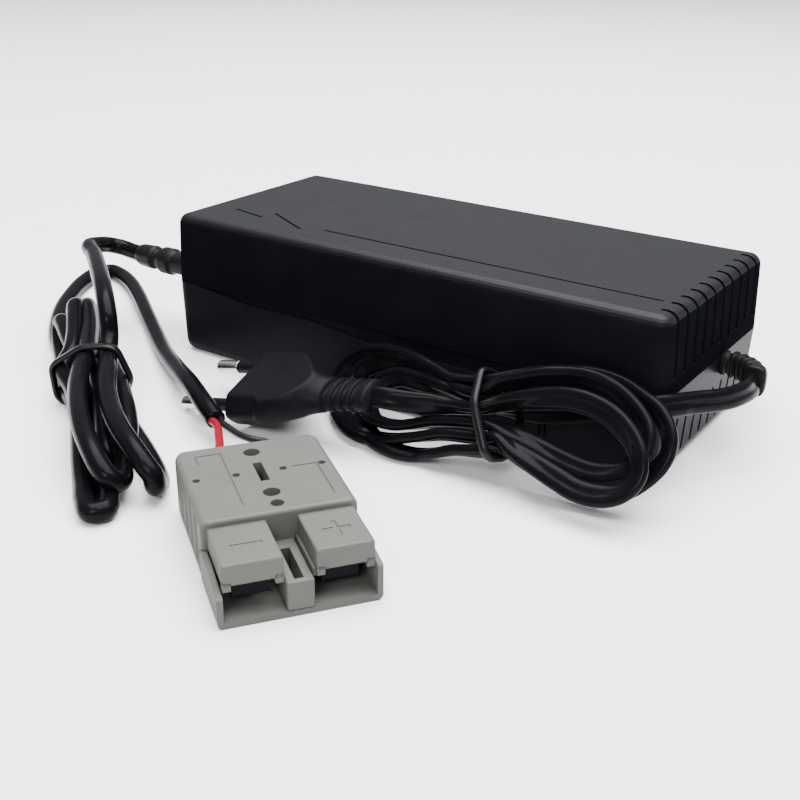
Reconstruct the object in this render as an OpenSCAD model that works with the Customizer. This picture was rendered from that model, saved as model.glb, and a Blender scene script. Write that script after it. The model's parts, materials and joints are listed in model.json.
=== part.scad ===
// Battery charger for lithium iron phosphate packs, with its mains lead and its
// output lead as they lie in the picture. Millimetres, Z up, origin in the middle
// of the case's underside, X along the case, the open long side at minus Y.

/* [Case] */
// length at the seam, the longest place
case_len = 169.6; // [120:0.2:220]
// width at the seam
case_wid = 73.6; // [50:0.2:100]
// height over all
case_high = 46.4; // [36:0.2:70]
// height of the seam between the shells
seam_z = 24; // [16:0.5:40]
// length at the top
top_len = 168; // [118:0.2:219]
// width at the top
top_wid = 72; // [49:0.2:99]
// length at the bottom
base_len = 167.6; // [118:0.2:219]
// width at the bottom
base_wid = 73.4; // [49:0.2:99]
// radius of the upright corners
corner_r = 4.5; // [2:0.1:10]
// radius of the top edges
top_edge_r = 3.5; // [1:0.1:6]
// radius of the bottom edges
base_edge_r = 4; // [1:0.1:6]
// wall thickness
wall = 2.2; // [1.4:0.1:4]
// thickness of the tongue on the lower shell's rim
tongue_t = 1; // [0.6:0.1:1.6]
// height of the tongue
tongue_h = 1.4; // [0.6:0.1:3]
// clearance between loose fits
play = 0.1; // [0.05:0.05:0.4]

/* [Vents and marks] */
// slots over the upper shell's right edge
vent_count = 10; // [3:1:10]
// distance from slot to slot
vent_pitch = 6.5; // [4:0.1:8]
// width of one slot
vent_w = 1.4; // [0.8:0.1:3]
// reach of the slots over the top, measured from the end
vent_reach = 4.9; // [2:0.1:12]
// lower end of the upper slots
vent_low = 28.5; // [25:0.5:36]
// slots in the lower shell's right end
low_vent_count = 8; // [2:1:8]
// lower end of the lower slots
low_vent_from = 3.5; // [2.5:0.5:10]
// upper end of the lower slots
low_vent_to = 15; // [12:0.5:20]
// depth of the grooves on top
mark_deep = 0.4; // [0.2:0.1:1]
// width of the grooves on top
mark_w = 0.8; // [0.4:0.1:2]
// depth of the wedge shaped recess under the seam
recess_deep = 0.9; // [0.3:0.1:1.4]

/* [Screws and board] */
// screw bosses from the middle along the case
boss_x = 72; // [40:0.5:74]
// screw bosses from the middle across the case
boss_y = 29.5; // [15:0.5:30]
// radius of a boss
boss_r = 3.6; // [3:0.1:5]
// radius of a case screw's shank
screw_r = 1.2; // [0.8:0.1:2]
// radius of a case screw's head
screw_head_r = 2.7; // [2:0.1:4]
// height of a case screw's head
screw_head_h = 2.2; // [1:0.1:3]
// length of a case screw's shank
screw_len = 30; // [20:1:34]
// standoffs from the middle along the case
post_x = 64; // [30:1:70]
// standoffs from the middle across the case
post_y = 21; // [10:1:28]
// top of the standoffs
post_top = 7; // [5:0.5:10]
// thickness of the circuit board
board_t = 1.6; // [1:0.1:2.4]
// length of the circuit board
board_len = 156; // [100:1:160]
// width of the circuit board
board_wid = 66; // [40:1:68]

/* [Parts on the board] */
// length of the transformer core
core_len = 33; // [20:1:40]
// width of the transformer core
core_wid = 28; // [12:1:32]
// height of the transformer core
core_high = 27; // [16:1:32]
// radius of the bulk capacitor
bulk_r = 11; // [6:0.5:12]
// height of the bulk capacitor
bulk_high = 31; // [20:1:34]
// radius of an output capacitor
out_cap_r = 5; // [3:0.5:7]
// height of an output capacitor
out_cap_high = 25; // [12:1:32]
// height of the heat sinks
sink_high = 28; // [16:1:34]
// thickness of the heat sinks
sink_t = 2.4; // [1.5:0.1:4]
// radius of the status lamp
lamp_r = 2.4; // [1.5:0.1:3]

/* [Output lead] */
// diameter of the round output cord
dc_d = 5.6; // [4:0.1:8]
// place of the output cord across the case
dc_y = -23; // [-26:0.5:26]
// length of its strain relief outside the case
dc_relief_len = 27; // [15:1:40]
// radius of its strain relief
dc_relief_r = 4.3; // [3.5:0.1:6]
// diameter of the red wire
red_d = 2.8; // [1.5:0.1:4]
// diameter of the black wire
black_d = 2.4; // [1.5:0.1:4]
// length of the output hank
dc_coil_len = 119; // [80:1:160]
// width of the output hank where the tie holds it
dc_waist = 18; // [14:1:30]
// height of the output hank
dc_coil_high = 19; // [12:1:30]

/* [Mains lead] */
// width of the flat mains cord
ac_w = 6; // [4:0.1:8]
// thickness of the flat mains cord
ac_t = 3.2; // [2:0.1:5]
// place of the mains cord across the case
ac_y = 7.5; // [-26:0.5:26]
// height of the mains cord's strain relief
ac_z = 21.3; // [18:0.1:24]
// radius of the bend of its strain relief
ac_bend_r = 9.4; // [8:0.1:14]
// angle of the bend of its strain relief
ac_bend = 80; // [30:1:90]
// radius of the mains hank's right end
ac_right_r = 18.2; // [10:0.1:24]
// radius of the mains hank's left end
ac_left_r = 15; // [8:0.1:20]
// width of the mains hank where the tie holds it
ac_waist = 21.6; // [14:0.2:30]
// lean of the mains hank against the case
ac_lean = 53.13; // [45:0.01:90]

/* [Two pole connector] */
// width of the connector
con_w = 36.5; // [24:0.5:50]
// length of the connector
con_len = 53.5; // [40:0.5:70]
// height of the connector's rear block
con_h = 16.2; // [12:0.1:24]
// start of the rear block, from the front
con_block = 17.2; // [12:0.1:26]
// radius of the rear block's back corners
con_corner = 3; // [1:0.1:5]
// thickness of the tray's floor
tray_t = 1.6; // [1:0.1:3]
// radius of the two fixing holes
fix_r = 2; // [1:0.1:3]
// radius of the third hole
pin_hole_r = 1.55; // [1:0.05:2.5]
// height of the hoods over the contacts
hood_top = 13.3; // [11:0.1:15]
// underside of the hoods
hood_low = 9.2; // [7:0.1:11]
// height of the web between the contacts
web_h = 8.6; // [5:0.1:9]
// radius of the wire entries in the back
entry_r = 4.4; // [2.5:0.1:5]
// height of the wire entries' axis
entry_h = 8.1; // [5:0.1:10]
// depth of the engraved lines
engrave = 0.4; // [0.2:0.1:0.8]
// number of finger flutes on each side
flute_count = 4; // [2:1:5]
// distance between the finger flutes
flute_pitch = 6.4; // [5:0.1:8]

/* [Mains plug] */
// length of the plug's body without its neck
plug_len = 36; // [28:1:50]
// length of the neck
neck_len = 9; // [5:1:20]
// greatest half width of the body
plug_r = 16.8; // [14:0.1:19]
// half width of the front block
nose_half = 12.4; // [10:0.1:14]
// length of the front block
nose_len = 10.5; // [6:0.5:14]
// thickness of the front block
nose_t = 8; // [6:0.2:12]
// thickness of the body
body_t = 12; // [8:0.2:16]
// radius of a pin
pin_r = 2; // [1.8:0.1:2.4]
// length of a pin outside the body
pin_len = 19; // [16:0.5:20]
// length of the sleeve on a pin
sleeve_len = 10; // [6:0.5:12]
// radius of the sleeve on a pin
sleeve_r = 1.9; // [1.7:0.05:1.95]
// thickness of the sleeve
sleeve_t = 0.3; // [0.2:0.05:0.4]
// half the distance between the pins
pin_half = 9; // [8:0.1:10]

/* [Hidden] */
$fn = 48;
eps = 0.01;
round_fn = 24;
board_top = post_top + board_t;
end_x = case_len / 2;
front_y = -case_wid / 2;

// case

module plate(len_x, wid_y, r, thick) {
    linear_extrude(thick)
        translate([r - len_x / 2, r - wid_y / 2])
            round_box(len_x - 2 * r, wid_y - 2 * r, r);
}

module round_box(len_x, wid_y, r) {
    square([len_x, wid_y]);
    translate([-r, 0])
        square([len_x + 2 * r, wid_y]);
    translate([0, -r])
        square([len_x, wid_y + 2 * r]);
    for (x = [0, len_x])
        for (y = [0, wid_y])
            translate([x, y])
                circle(r);
}

// the balls are drawn a little larger, so that their flats reach the full radius
module corner_balls(len_x, wid_y, z, r) {
    for (x = [-1, 1])
        for (y = [-1, 1])
            translate([x * (len_x / 2 - r), y * (wid_y / 2 - r), z])
                sphere(r / cos(180 / round_fn), $fn = round_fn);
}

// upper half as a solid, drawn in by t on every side
module upper_form(t) {
    r = max(corner_r - t, 1);
    e = max(top_edge_r - t, 1);
    hull() {
        translate([0, 0, seam_z])
            plate(case_len - 2 * t, case_wid - 2 * t, r, eps, $fn = round_fn);
        corner_balls(top_len - 2 * t, top_wid - 2 * t, case_high - t - e, e);
    }
}

// lower half as a solid, drawn in by t on every side
module lower_form(t) {
    r = max(corner_r - t, 1);
    e = max(base_edge_r - t, 1);
    hull() {
        translate([0, 0, seam_z - eps])
            plate(case_len - 2 * t, case_wid - 2 * t, r, eps, $fn = round_fn);
        corner_balls(base_len - 2 * t, base_wid - 2 * t, t + e, e);
    }
}

module at_bosses(z) {
    for (x = [-1, 1])
        for (y = [-1, 1])
            translate([x * boss_x, y * boss_y, z])
                children();
}

module at_posts(z) {
    for (x = [-1, 1])
        for (y = [-1, 1])
            translate([x * post_x, y * post_y, z])
                children();
}

module rod_x(x0, x1, r) {
    translate([x0, 0, 0])
        rotate([0, 90, 0])
            cylinder(h = x1 - x0, r = r);
}

// one straight groove on top, from p to q
module top_groove(p, q) {
    d = q - p;
    translate([p[0], p[1], case_high - mark_deep])
        rotate([0, 0, atan2(d[1], d[0])])
            translate([0, -mark_w / 2, 0])
                cube([norm(d), mark_w, 1 + mark_deep]);
}

groove_y = -23;
groove_points = [[-71.7, -20.3], [-58.5, -22.8], [-57.9, -17], [-40.2, -26.3]];
groove_from = -33.4;
groove_to = 77.1;
relief_neck_r = 4;
ac_neck_r = 3.2;

module relief_holes() {
    translate([0, dc_y, seam_z])
        rod_x(-end_x - 1, wall - end_x + 1, relief_neck_r);
    translate([0, ac_y, ac_z])
        rod_x(end_x - wall - 1, end_x + 1, ac_neck_r);
}

module top_shell() {
    color("#2b2c2f")
    difference() {
        union() {
            difference() {
                upper_form(0);
                translate([0, 0, -eps])
                    upper_form(wall);
            }
            intersection() {
                upper_form(wall / 2);
                at_bosses(seam_z + tongue_h + play)
                    cylinder(h = case_high, r = boss_r);
            }
        }
        translate([0, 0, seam_z - 1])
            plate(case_len - 2 * (wall - tongue_t - play), case_wid - 2 * (wall - tongue_t - play),
                corner_r - wall + tongue_t, 1 + tongue_h + play, $fn = round_fn);
        at_bosses(seam_z)
            cylinder(h = screw_len - seam_z + screw_head_h + 6, r = screw_r + play / 2);
        for (i = [0 : vent_count - 1])
            translate([top_len / 2 - vent_reach, (i - (vent_count - 1) / 2) * vent_pitch - vent_w / 2,
                vent_low])
                cube([vent_reach + wall, vent_w, case_high]);
        for (i = [0 : len(groove_points) - 2])
            top_groove(groove_points[i], groove_points[i + 1]);
        top_groove([groove_from, groove_y], [groove_to, groove_y]);
        relief_holes();
    }
}

recess_line = [[-76, 24], [-52, 21.4], [-30, 21.9], [-6, 19.4], [52, 19.4], [70, 24]];
rib_x = 50.8;

module bottom_shell() {
    color("#313237")
    difference() {
        union() {
            difference() {
                lower_form(0);
                translate([0, 0, eps])
                    lower_form(wall);
            }
            difference() {
                translate([0, 0, seam_z - wall])
                    plate(case_len - 2 * (wall - tongue_t), case_wid - 2 * (wall - tongue_t),
                        corner_r - wall + tongue_t, wall + tongue_h, $fn = round_fn);
                translate([0, 0, seam_z - wall - 1])
                    plate(case_len - 2 * wall, case_wid - 2 * wall, corner_r - wall, wall + tongue_h + 2,
                        $fn = round_fn);
            }
            at_bosses(wall / 2)
                cylinder(h = seam_z + tongue_h + play - wall / 2, r = boss_r);
            at_posts(wall / 2)
                cylinder(h = post_top - wall / 2, r = boss_r - 0.8);
        }
        at_bosses(-1)
            cylinder(h = case_high, r = screw_r + 2 * play);
        at_bosses(-1)
            cylinder(h = screw_head_h + 2, r = screw_head_r + play);
        at_posts(post_top - 4)
            cylinder(h = case_high, r = screw_r - play);
        for (i = [0 : low_vent_count - 1])
            translate([end_x - wall - 1, (i - (low_vent_count - 1) / 2) * vent_pitch - vent_w / 2,
                low_vent_from])
                cube([wall + 2, vent_w, low_vent_to - low_vent_from]);
        translate([0, front_y + recess_deep, 0])
            rotate([90, 0, 0])
                linear_extrude(recess_deep + 1)
                    polygon(recess_line);
        for (i = [0, 1])
            translate([rib_x + i * 1.6, front_y - 1, 5.7])
                cube([mark_w, 1 + mark_w, 5.7]);
        relief_holes();
        translate([0, lamp_y, lamp_z])
            rod_x(-end_x - 1, wall - end_x + 1, lamp_r + play / 2);
    }
}

module case_screws() {
    color("#8d9095")
    at_bosses(1 + screw_head_h)
        union() {
            cylinder(h = screw_len, r = screw_r);
            difference() {
                translate([0, 0, -screw_head_h])
                    cylinder(h = screw_head_h, r = screw_head_r);
                for (a = [0, 90])
                    rotate([0, 0, a])
                        translate([-screw_r, -mark_w / 2, -screw_head_h - 1])
                            cube([2 * screw_r, mark_w, 2]);
            }
        }
}

// board and its parts

module circuit_board() {
    color("#2f6b45")
    translate([0, 0, post_top])
        linear_extrude(board_t)
            difference() {
                translate([-board_len / 2, -board_wid / 2])
                    square([board_len, board_wid]);
                for (x = [-1, 1])
                    for (y = [-1, 1])
                        translate([x * boss_x, y * boss_y])
                            circle(boss_r + 1);
                for (x = [-1, 1])
                    for (y = [-1, 1])
                        translate([x * post_x, y * post_y])
                            circle(screw_r);
            }
}

module board_screws() {
    color("#b9bcc2")
    at_posts(board_top)
        union() {
            cylinder(h = 1.6, r = 2.2);
            translate([0, 0, -4.4])
                cylinder(h = 4.5, r = screw_r - 2 * play);
        }
}

module block(x, y, w, d, h) {
    translate([x - w / 2, y - d / 2, board_top])
        cube([w, d, h]);
}

core_x = -2;
core_y = 0;
leg = 6;

module transformer_windows() {
    for (s = [-1, 1])
        translate([core_x + s * (core_len / 2 - leg) - (s > 0 ? core_len / 2 - leg * 1.5 : 0),
            core_y - core_wid, board_top + leg])
            cube([core_len / 2 - leg * 1.5, 2 * core_wid, core_high - 2 * leg]);
}

module transformer_core() {
    color("#3c3b3d")
    difference() {
        block(core_x, core_y, core_len, core_wid / 2, core_high);
        transformer_windows();
    }
}

module transformer_winding() {
    color("#c9a23c")
    difference() {
        translate([core_x - core_len / 2 + leg, core_y - core_wid / 2, board_top + leg])
            cube([core_len - 2 * leg, core_wid, core_high - 2 * leg]);
        translate([core_x - leg / 2, core_y - core_wid / 4, board_top])
            cube([leg, core_wid / 2, core_high]);
    }
}

choke_x = 40;
choke_y = 15;
choke_w = 24;
choke_d = 6;
choke_h = 22;
choke_leg = 5;

module choke_core() {
    color("#46423f")
    difference() {
        block(choke_x, choke_y, choke_w, choke_d, choke_h);
        translate([choke_x - choke_w / 2 + choke_leg, choke_y - choke_d, board_top + choke_leg])
            cube([choke_w - 2 * choke_leg, 2 * choke_d, choke_h - 2 * choke_leg]);
    }
}

module choke_windings() {
    color("#b5652e")
    for (s = [-1, 1])
        difference() {
            block(choke_x + s * (choke_w - choke_leg) / 2, choke_y, choke_leg + 4, choke_d + 5,
                choke_h);
            block(choke_x + s * (choke_w - choke_leg) / 2, choke_y, choke_leg, choke_d, choke_h + 1);
            block(choke_x + s * (choke_w - choke_leg) / 2, choke_y, choke_w, choke_d * 2, choke_leg);
            translate([0, 0, choke_h - choke_leg])
                block(choke_x + s * (choke_w - choke_leg) / 2, choke_y, choke_w, choke_d * 2,
                    choke_leg + 1);
        }
}

module bulk_capacitor() {
    color("#23272f")
    translate([48, -12, board_top])
        rotate_extrude()
            polygon([[0, 0], [bulk_r, 0], [bulk_r, 2], [bulk_r - 0.6, 2.6], [bulk_r, 3.2],
                [bulk_r, bulk_high - 1], [bulk_r - 1, bulk_high], [0, bulk_high]]);
}

module filter_capacitor() {
    color("#c8a53a")
    block(60, 8, 7, 18, 14);
}

module output_capacitors() {
    color("#2c3138")
    for (y = [-7, 7])
        translate([-60, y, board_top])
            cylinder(h = out_cap_high, r = out_cap_r);
}

primary_sink_x = 8;
output_sink_x = -38;
sink_y = 29;
sink_len = 40;

module heat_sink(x, side, tone) {
    color(tone)
    union() {
        block(x, side * sink_y, sink_len, sink_t, sink_high);
        for (i = [-2 : 2])
            block(x + i * sink_len / 5, side * (sink_y + sink_t / 2 + 1), 1.4, 2.2, sink_high);
    }
}

module primary_heatsink() {
    heat_sink(primary_sink_x, 1, "#a7abb1");
}

module output_heatsink() {
    heat_sink(output_sink_x, -1, "#a7abb1");
}

module power_case(x, side) {
    y = side * (sink_y - sink_t / 2 - 2.3);
    translate([x - 5, y - 2.3, board_top + 4])
        cube([10, 4.6, 15]);
    for (i = [-1 : 1])
        translate([x + i * 2.5 - 0.4, y - 0.3, board_top])
            cube([0.8, 0.6, 4 + eps]);
}

module switch_transistor() {
    color("#1f2023")
    power_case(primary_sink_x, 1);
}

module output_rectifier() {
    color("#1f2023")
    power_case(output_sink_x, -1);
}

module bridge_rectifier() {
    color("#25262a")
    block(24, -24, 15, 3.8, 12);
}

fuse_x = 71;
fuse_from = -18;
fuse_len = 20;
fuse_r = 2.4;
fuse_cap_len = 5;
fuse_cap_r = 2.9;

module rod_y(y0, y1, r) {
    translate([0, y0, 0])
        rotate([-90, 0, 0])
            cylinder(h = y1 - y0, r = r);
}

module fuse_glass() {
    color("#d9e2e0")
    translate([fuse_x, 0, board_top + fuse_cap_r + 1])
        rod_y(fuse_from, fuse_from + fuse_len, fuse_r);
}

module fuse_caps() {
    color("#c3c6ca")
    for (y = [fuse_from, fuse_from + fuse_len - fuse_cap_len])
        difference() {
            union() {
                translate([fuse_x, 0, board_top + fuse_cap_r + 1])
                    rod_y(y, y + fuse_cap_len, fuse_cap_r);
                translate([fuse_x - 1.5, y, board_top])
                    cube([3, fuse_cap_len, 2]);
            }
            translate([fuse_x, 0, board_top + fuse_cap_r + 1])
                rod_y(y - 1, y + fuse_cap_len + 1, fuse_r);
        }
}

ring_x = -36;
ring_y = 14;
ring_mid = 8.5;
ring_half = 2.5;
ring_high = 8;
turn_t = 1.6;

module inductor_core() {
    color("#d8c34a")
    translate([ring_x, ring_y, board_top + turn_t])
        rotate_extrude()
            translate([ring_mid - ring_half, 0])
                square([2 * ring_half, ring_high]);
}

module inductor_winding() {
    color("#b5652e")
    translate([ring_x, ring_y, board_top])
        rotate_extrude(angle = 300)
            difference() {
                translate([ring_mid - ring_half - turn_t, 0])
                    square([2 * (ring_half + turn_t), ring_high + 2 * turn_t]);
                translate([ring_mid - ring_half, turn_t])
                    square([2 * ring_half, ring_high]);
            }
}

lamp_y = 8;
lamp_z = 14;
lamp_back = 5;

module status_lamp() {
    color("#7fbf5a")
    translate([0, lamp_y, lamp_z]) {
        rod_x(0.6 - end_x, lamp_back - end_x, lamp_r);
        rod_x(lamp_back - 1.6 - end_x, lamp_back - end_x, lamp_r + 0.5);
        for (s = [-1, 1]) {
            translate([lamp_back - end_x - eps, s * 1.2 - 0.25, -0.25])
                cube([4.8, 0.5, 0.5]);
            translate([lamp_back - end_x + 4.3, s * 1.2 - 0.25, board_top - lamp_z])
                cube([0.5, 0.5, lamp_z - board_top + 0.25]);
        }
    }
}

// strain reliefs, drawn along the cord from the case's wall at zero

module dc_strain_relief() {
    color("#17181a")
    translate([-end_x, dc_y, seam_z])
        rotate([0, -90, 0])
            rotate_extrude()
                polygon([[0, -wall - 2.6], [dc_relief_r + 1, -wall - 2.6], [dc_relief_r + 1, -wall - 0.4],
                    [relief_neck_r - play / 2, -wall - 0.4], [relief_neck_r - play / 2, 0],
                    [dc_relief_r + 0.6, 0], [dc_relief_r + 0.6, 2], [dc_relief_r, 2.6],
                    [dc_relief_r, 4.6], [dc_relief_r - 1, 4.6], [dc_relief_r - 1, 5.6],
                    [dc_relief_r, 5.6], [dc_relief_r, 9.4], [dc_relief_r - 1, 9.4],
                    [dc_relief_r - 1, 10.5], [dc_relief_r, 10.5], [dc_relief_r, 16],
                    [dc_relief_r - 1, 16], [dc_relief_r - 1, 17], [dc_relief_r - 0.2, 17],
                    [dc_relief_r - 0.4, 23], [dc_relief_r - 0.9, 23],
                    [dc_relief_r - 0.9, dc_relief_len], [0, dc_relief_len]]);
}

ac_straight = 2.4;
ac_relief_w = 7.4;
ac_relief_t = 5.6;
seg_count = 6;
seg_taper = 0.12;
collar_len = 2.2;

// a plain bent core with a row of thicker segments round the same centre, and a collar at its end
module ac_strain_relief() {
    step = ac_bend / seg_count;
    color("#17181a")
    translate([end_x, ac_y, ac_z])
        union() {
            rod_x(-wall - 2.6, -wall - 0.4, ac_neck_r + 1.2);
            rod_x(-wall - 2.6, ac_straight, ac_neck_r - play / 2);
            rod_x(0, 1.6, ac_neck_r + 0.9);
            translate([ac_straight, -ac_bend_r, 0])
                rotate([0, 0, 90 - ac_bend])
                    rotate_extrude(angle = ac_bend + 1)
                        translate([ac_bend_r - ac_t / 2 - 0.3, -ac_w / 2 - 0.2])
                            square([ac_t + 0.6, ac_w + 0.4]);
            for (i = [0 : seg_count - 2])
                translate([ac_straight, -ac_bend_r, 0])
                    rotate([0, 0, 90 - (i + 0.86) * step])
                        rotate_extrude(angle = step * 0.64)
                            translate([ac_bend_r - ac_relief_t / 2 + i * seg_taper / 2,
                                i * seg_taper / 2 - ac_relief_w / 2])
                                square([ac_relief_t - i * seg_taper, ac_relief_w - i * seg_taper]);
            translate([ac_straight, -ac_bend_r, 0])
                rotate([0, 0, -ac_bend])
                    translate([0, ac_bend_r, 0])
                        translate([-collar_len, -ac_relief_t / 2, -ac_relief_w / 2])
                            cube([collar_len, ac_relief_t, ac_relief_w - 0.2]);
        }
}

// cords: rings of points round a centre line, joined into one closed skin

function unit(v) = v / norm(v);
function heading(p, i) = unit(p[min(i + 1, len(p) - 1)] - p[max(i - 1, 0)]);
function across(t) = unit(cross(t, [0, 0, 1]));
function ring(c, t, a, b, n) = [for (k = [0 : n - 1])
    c + a * cos(360 * k / n) * across(t) + b * sin(360 * k / n) * cross(across(t), t)];
function skin_points(p, a, b, n) = [for (i = [0 : len(p) - 1]) each ring(p[i], heading(p, i), a, b, n)];
function skin_faces(m, n) = concat([[for (k = [n - 1 : -1 : 0]) k]],
    [for (i = [0 : m - 2]) for (k = [0 : n - 1])
        [i * n + k, i * n + (k + 1) % n, (i + 1) * n + (k + 1) % n]],
    [for (i = [0 : m - 2]) for (k = [0 : n - 1])
        [i * n + k, (i + 1) * n + (k + 1) % n, (i + 1) * n + k]],
    [[for (k = [0 : n - 1]) (m - 1) * n + k]]);

module skin(p, a, b, n) {
    polyhedron(skin_points(p, a, b, n), skin_faces(len(p), n), convexity = 10);
}

// output cord, from the relief to the top of the hank
dc_in_line = [[-end_x - dc_relief_len, dc_y, seam_z], [-117, dc_y, seam_z],
    [-122.6, -22.9, 24.4], [-126.4, -24.2, 25.4], [-128.4, -27.2, 26.6], [-127.9, -31.6, 28],
    [-124.6, -36.9, 29.4], [-118.4, -43, 30.3], [-109, -50.3, 30.6], [-98.3, -58, 30.4],
    [-88.2, -65.6, 29], [-82.1, -69.9, 26.5], [-78.1, -72.9, 22.5], [-74.4, -76.4, 18],
    [-69.2, -81.7, 12]];
// output cord, from the hank round its free bend to the connector
dc_out_line = [[-98, -74, 2.9], [-109, -69.2, 2.9], [-120.4, -60.4, 2.9], [-132.2, -49.8, 2.9],
    [-143.2, -38, 2.9], [-152.8, -25.2, 2.9], [-159.4, -13.8, 2.9], [-163.2, -3.4, 2.9],
    [-160.8, 1.6, 2.9], [-154, 0.7, 2.9], [-142.8, -4.6, 2.9], [-129, -13.6, 2.9],
    [-111.9, -25.9, 2.9], [-97.1, -36.5, 2.9], [-80.3, -48.5, 3.6], [-64.3, -59.2, 5.6],
    [-47.6, -69.8, 8], [-34.2, -78.1, 8.4], [-28.5, -81, 7]];
jacket_end = dc_out_line[len(dc_out_line) - 1];
jacket_dir = heading(dc_out_line, len(dc_out_line) - 1);
jacket_across = -across(jacket_dir);
wire_half = 1.42;
// wires, from the jacket's end into the connector's back
red_line = [jacket_end - wire_half * jacket_across,
    jacket_end - wire_half * jacket_across + 2.4 * jacket_dir, [-21, -88.2, 7.6],
    [-17.6, -94, 8.6], [-14.6, -99.6, 9], [-10.8, -104, 8.6], [-6.4, -107.1, 8.1]];
black_line = [jacket_end + wire_half * jacket_across,
    jacket_end + wire_half * jacket_across + 2.8 * jacket_dir, [-16, -84, 7],
    [-8, -85.4, 7.8], [-1, -87.8, 8.1], [3.2, -89.6, 8.1]];

// plan of the output hank: a along the hank from its near end, b across it
dc_near = [-16, -125, 0];
dc_turn = 145.6;
dc_near_r = 15;
dc_far_r = 12.5;
dc_tie_at = 73;
tie_w = 4.2;
tie_t = 0.8;
tie_sink = 0.5;

module at_dc_coil() {
    translate(dc_near)
        rotate([0, 0, dc_turn])
            children();
}

module dc_coil_form() {
    far = dc_coil_len - dc_far_r;
    linear_extrude(dc_coil_high)
        union() {
            translate([dc_near_r, 0])
                circle(dc_near_r);
            translate([far, 0])
                circle(dc_far_r);
            polygon([[dc_near_r, -dc_near_r], [dc_tie_at - 8, -dc_waist / 2],
                [dc_tie_at + 8, -dc_waist / 2], [far, -dc_far_r], [far, dc_far_r],
                [dc_tie_at + 8, dc_waist / 2], [dc_tie_at - 8, dc_waist / 2],
                [dc_near_r, dc_near_r]]);
        }
}

module dc_tie_ring() {
    difference() {
        translate([dc_tie_at - tie_w / 2, -dc_waist / 2 - tie_t + tie_sink, 0])
            cube([tie_w, dc_waist + 2 * tie_t - 2 * tie_sink, dc_coil_high + tie_t - tie_sink]);
        translate([dc_tie_at - tie_w, -dc_waist / 2 + tie_sink, tie_t])
            cube([2 * tie_w, dc_waist - 2 * tie_sink, dc_coil_high - tie_t - tie_sink]);
    }
}

module dc_coil() {
    color("#1b1c1e")
    at_dc_coil()
        difference() {
            dc_coil_form();
            dc_tie_ring();
        }
}

module dc_tie() {
    color("#101113")
    at_dc_coil()
        dc_tie_ring();
}

module dc_cord_in() {
    color("#1b1c1e")
    difference() {
        skin(dc_in_line, dc_d / 2, dc_d / 2, 12);
        at_dc_coil()
            dc_coil_form();
        at_dc_coil()
            dc_tie_ring();
    }
}

module dc_cord_out() {
    color("#1b1c1e")
    difference() {
        skin(dc_out_line, dc_d / 2, dc_d / 2, 12);
        at_dc_coil()
            dc_coil_form();
    }
}

// places in the connector's own directions: across, from the front, up
con_place = [35.32, -147.47, 0];
con_turn = 54.12;
con_ex = [cos(con_turn), sin(con_turn), 0];
con_ey = [-sin(con_turn), cos(con_turn), 0];
function in_con(u, v, w) = con_place + u * con_ex + v * con_ey + [0, 0, w];
red_u = 8.25;
black_u = 28.25;
barrel_back = 46;
barrel_r = 3.4;
wire_deep = 42;

module wire(line, u, d) {
    inside = [in_con(u, con_len + 3, entry_h), in_con(u, con_len, entry_h),
        in_con(u, wire_deep, entry_h)];
    skin(concat(line, inside), d / 2, d / 2, 8);
}

module red_wire() {
    color("#c3261f")
    wire(red_line, red_u, red_d);
}

module black_wire() {
    color("#1d1d1f")
    wire(black_line, black_u, black_d);
}

// connector, built with its front left corner at the origin

module at_connector() {
    translate(con_place)
        rotate([0, 0, con_turn])
            children();
}

module box(p, q) {
    translate(p)
        cube(q - p);
}

con_mid = 18.4;
block_in = 0.3;
block_out = 36.2;
hood_front = 1.5;
left_hood = [1.6, 14.9];
right_hood = [22, 35.2];
lip_w = 1.9;
lip_low = 8;
web = [15.1, 21.2];
left_cell = [1.6, 14.8];
right_cell = [21.4, 35.2];
cell_back = 31;
outline_left = [[4.8, 44.8], [4.8, 48.8], [10.9, 48.8], [10.9, 20.5]];
outline_right = [[26.2, 37.1], [31.9, 37.1], [31.9, 21.4]];

module con_block_form() {
    difference() {
        linear_extrude(con_h)
            difference() {
                union() {
                    translate([block_in, con_block])
                        square([block_out - block_in, con_len - con_block - con_corner]);
                    translate([block_in + con_corner, con_len - con_corner - eps])
                        square([block_out - block_in - 2 * con_corner, con_corner + eps]);
                    for (u = [block_in + con_corner, block_out - con_corner])
                        translate([u, con_len - con_corner])
                            circle(con_corner);
                }
                for (i = [0 : flute_count - 1])
                    for (u = [block_in - 1.8, block_out + 1.8])
                        translate([u, con_block + 7 + i * flute_pitch])
                            circle(2.9);
            }
        for (u = [red_u, black_u])
            translate([u, 0, entry_h])
                rod_y(cell_back - 1, con_len + 1, entry_r);
    }
}

module hood(span) {
    box([span[0], hood_front, hood_low], [span[1], con_block + eps, hood_top]);
    for (u = [span[0], span[1] - lip_w])
        box([u, hood_front, lip_low], [u + lip_w, hood_front + lip_w, hood_low + eps]);
}

module engraved_line(p, q) {
    d = q - p;
    translate([p[0], p[1], con_h - engrave])
        rotate([0, 0, atan2(d[1], d[0])])
            translate([-0.25, -0.25, 0])
                cube([norm(d) + 0.5, 0.5, 2]);
}

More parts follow.
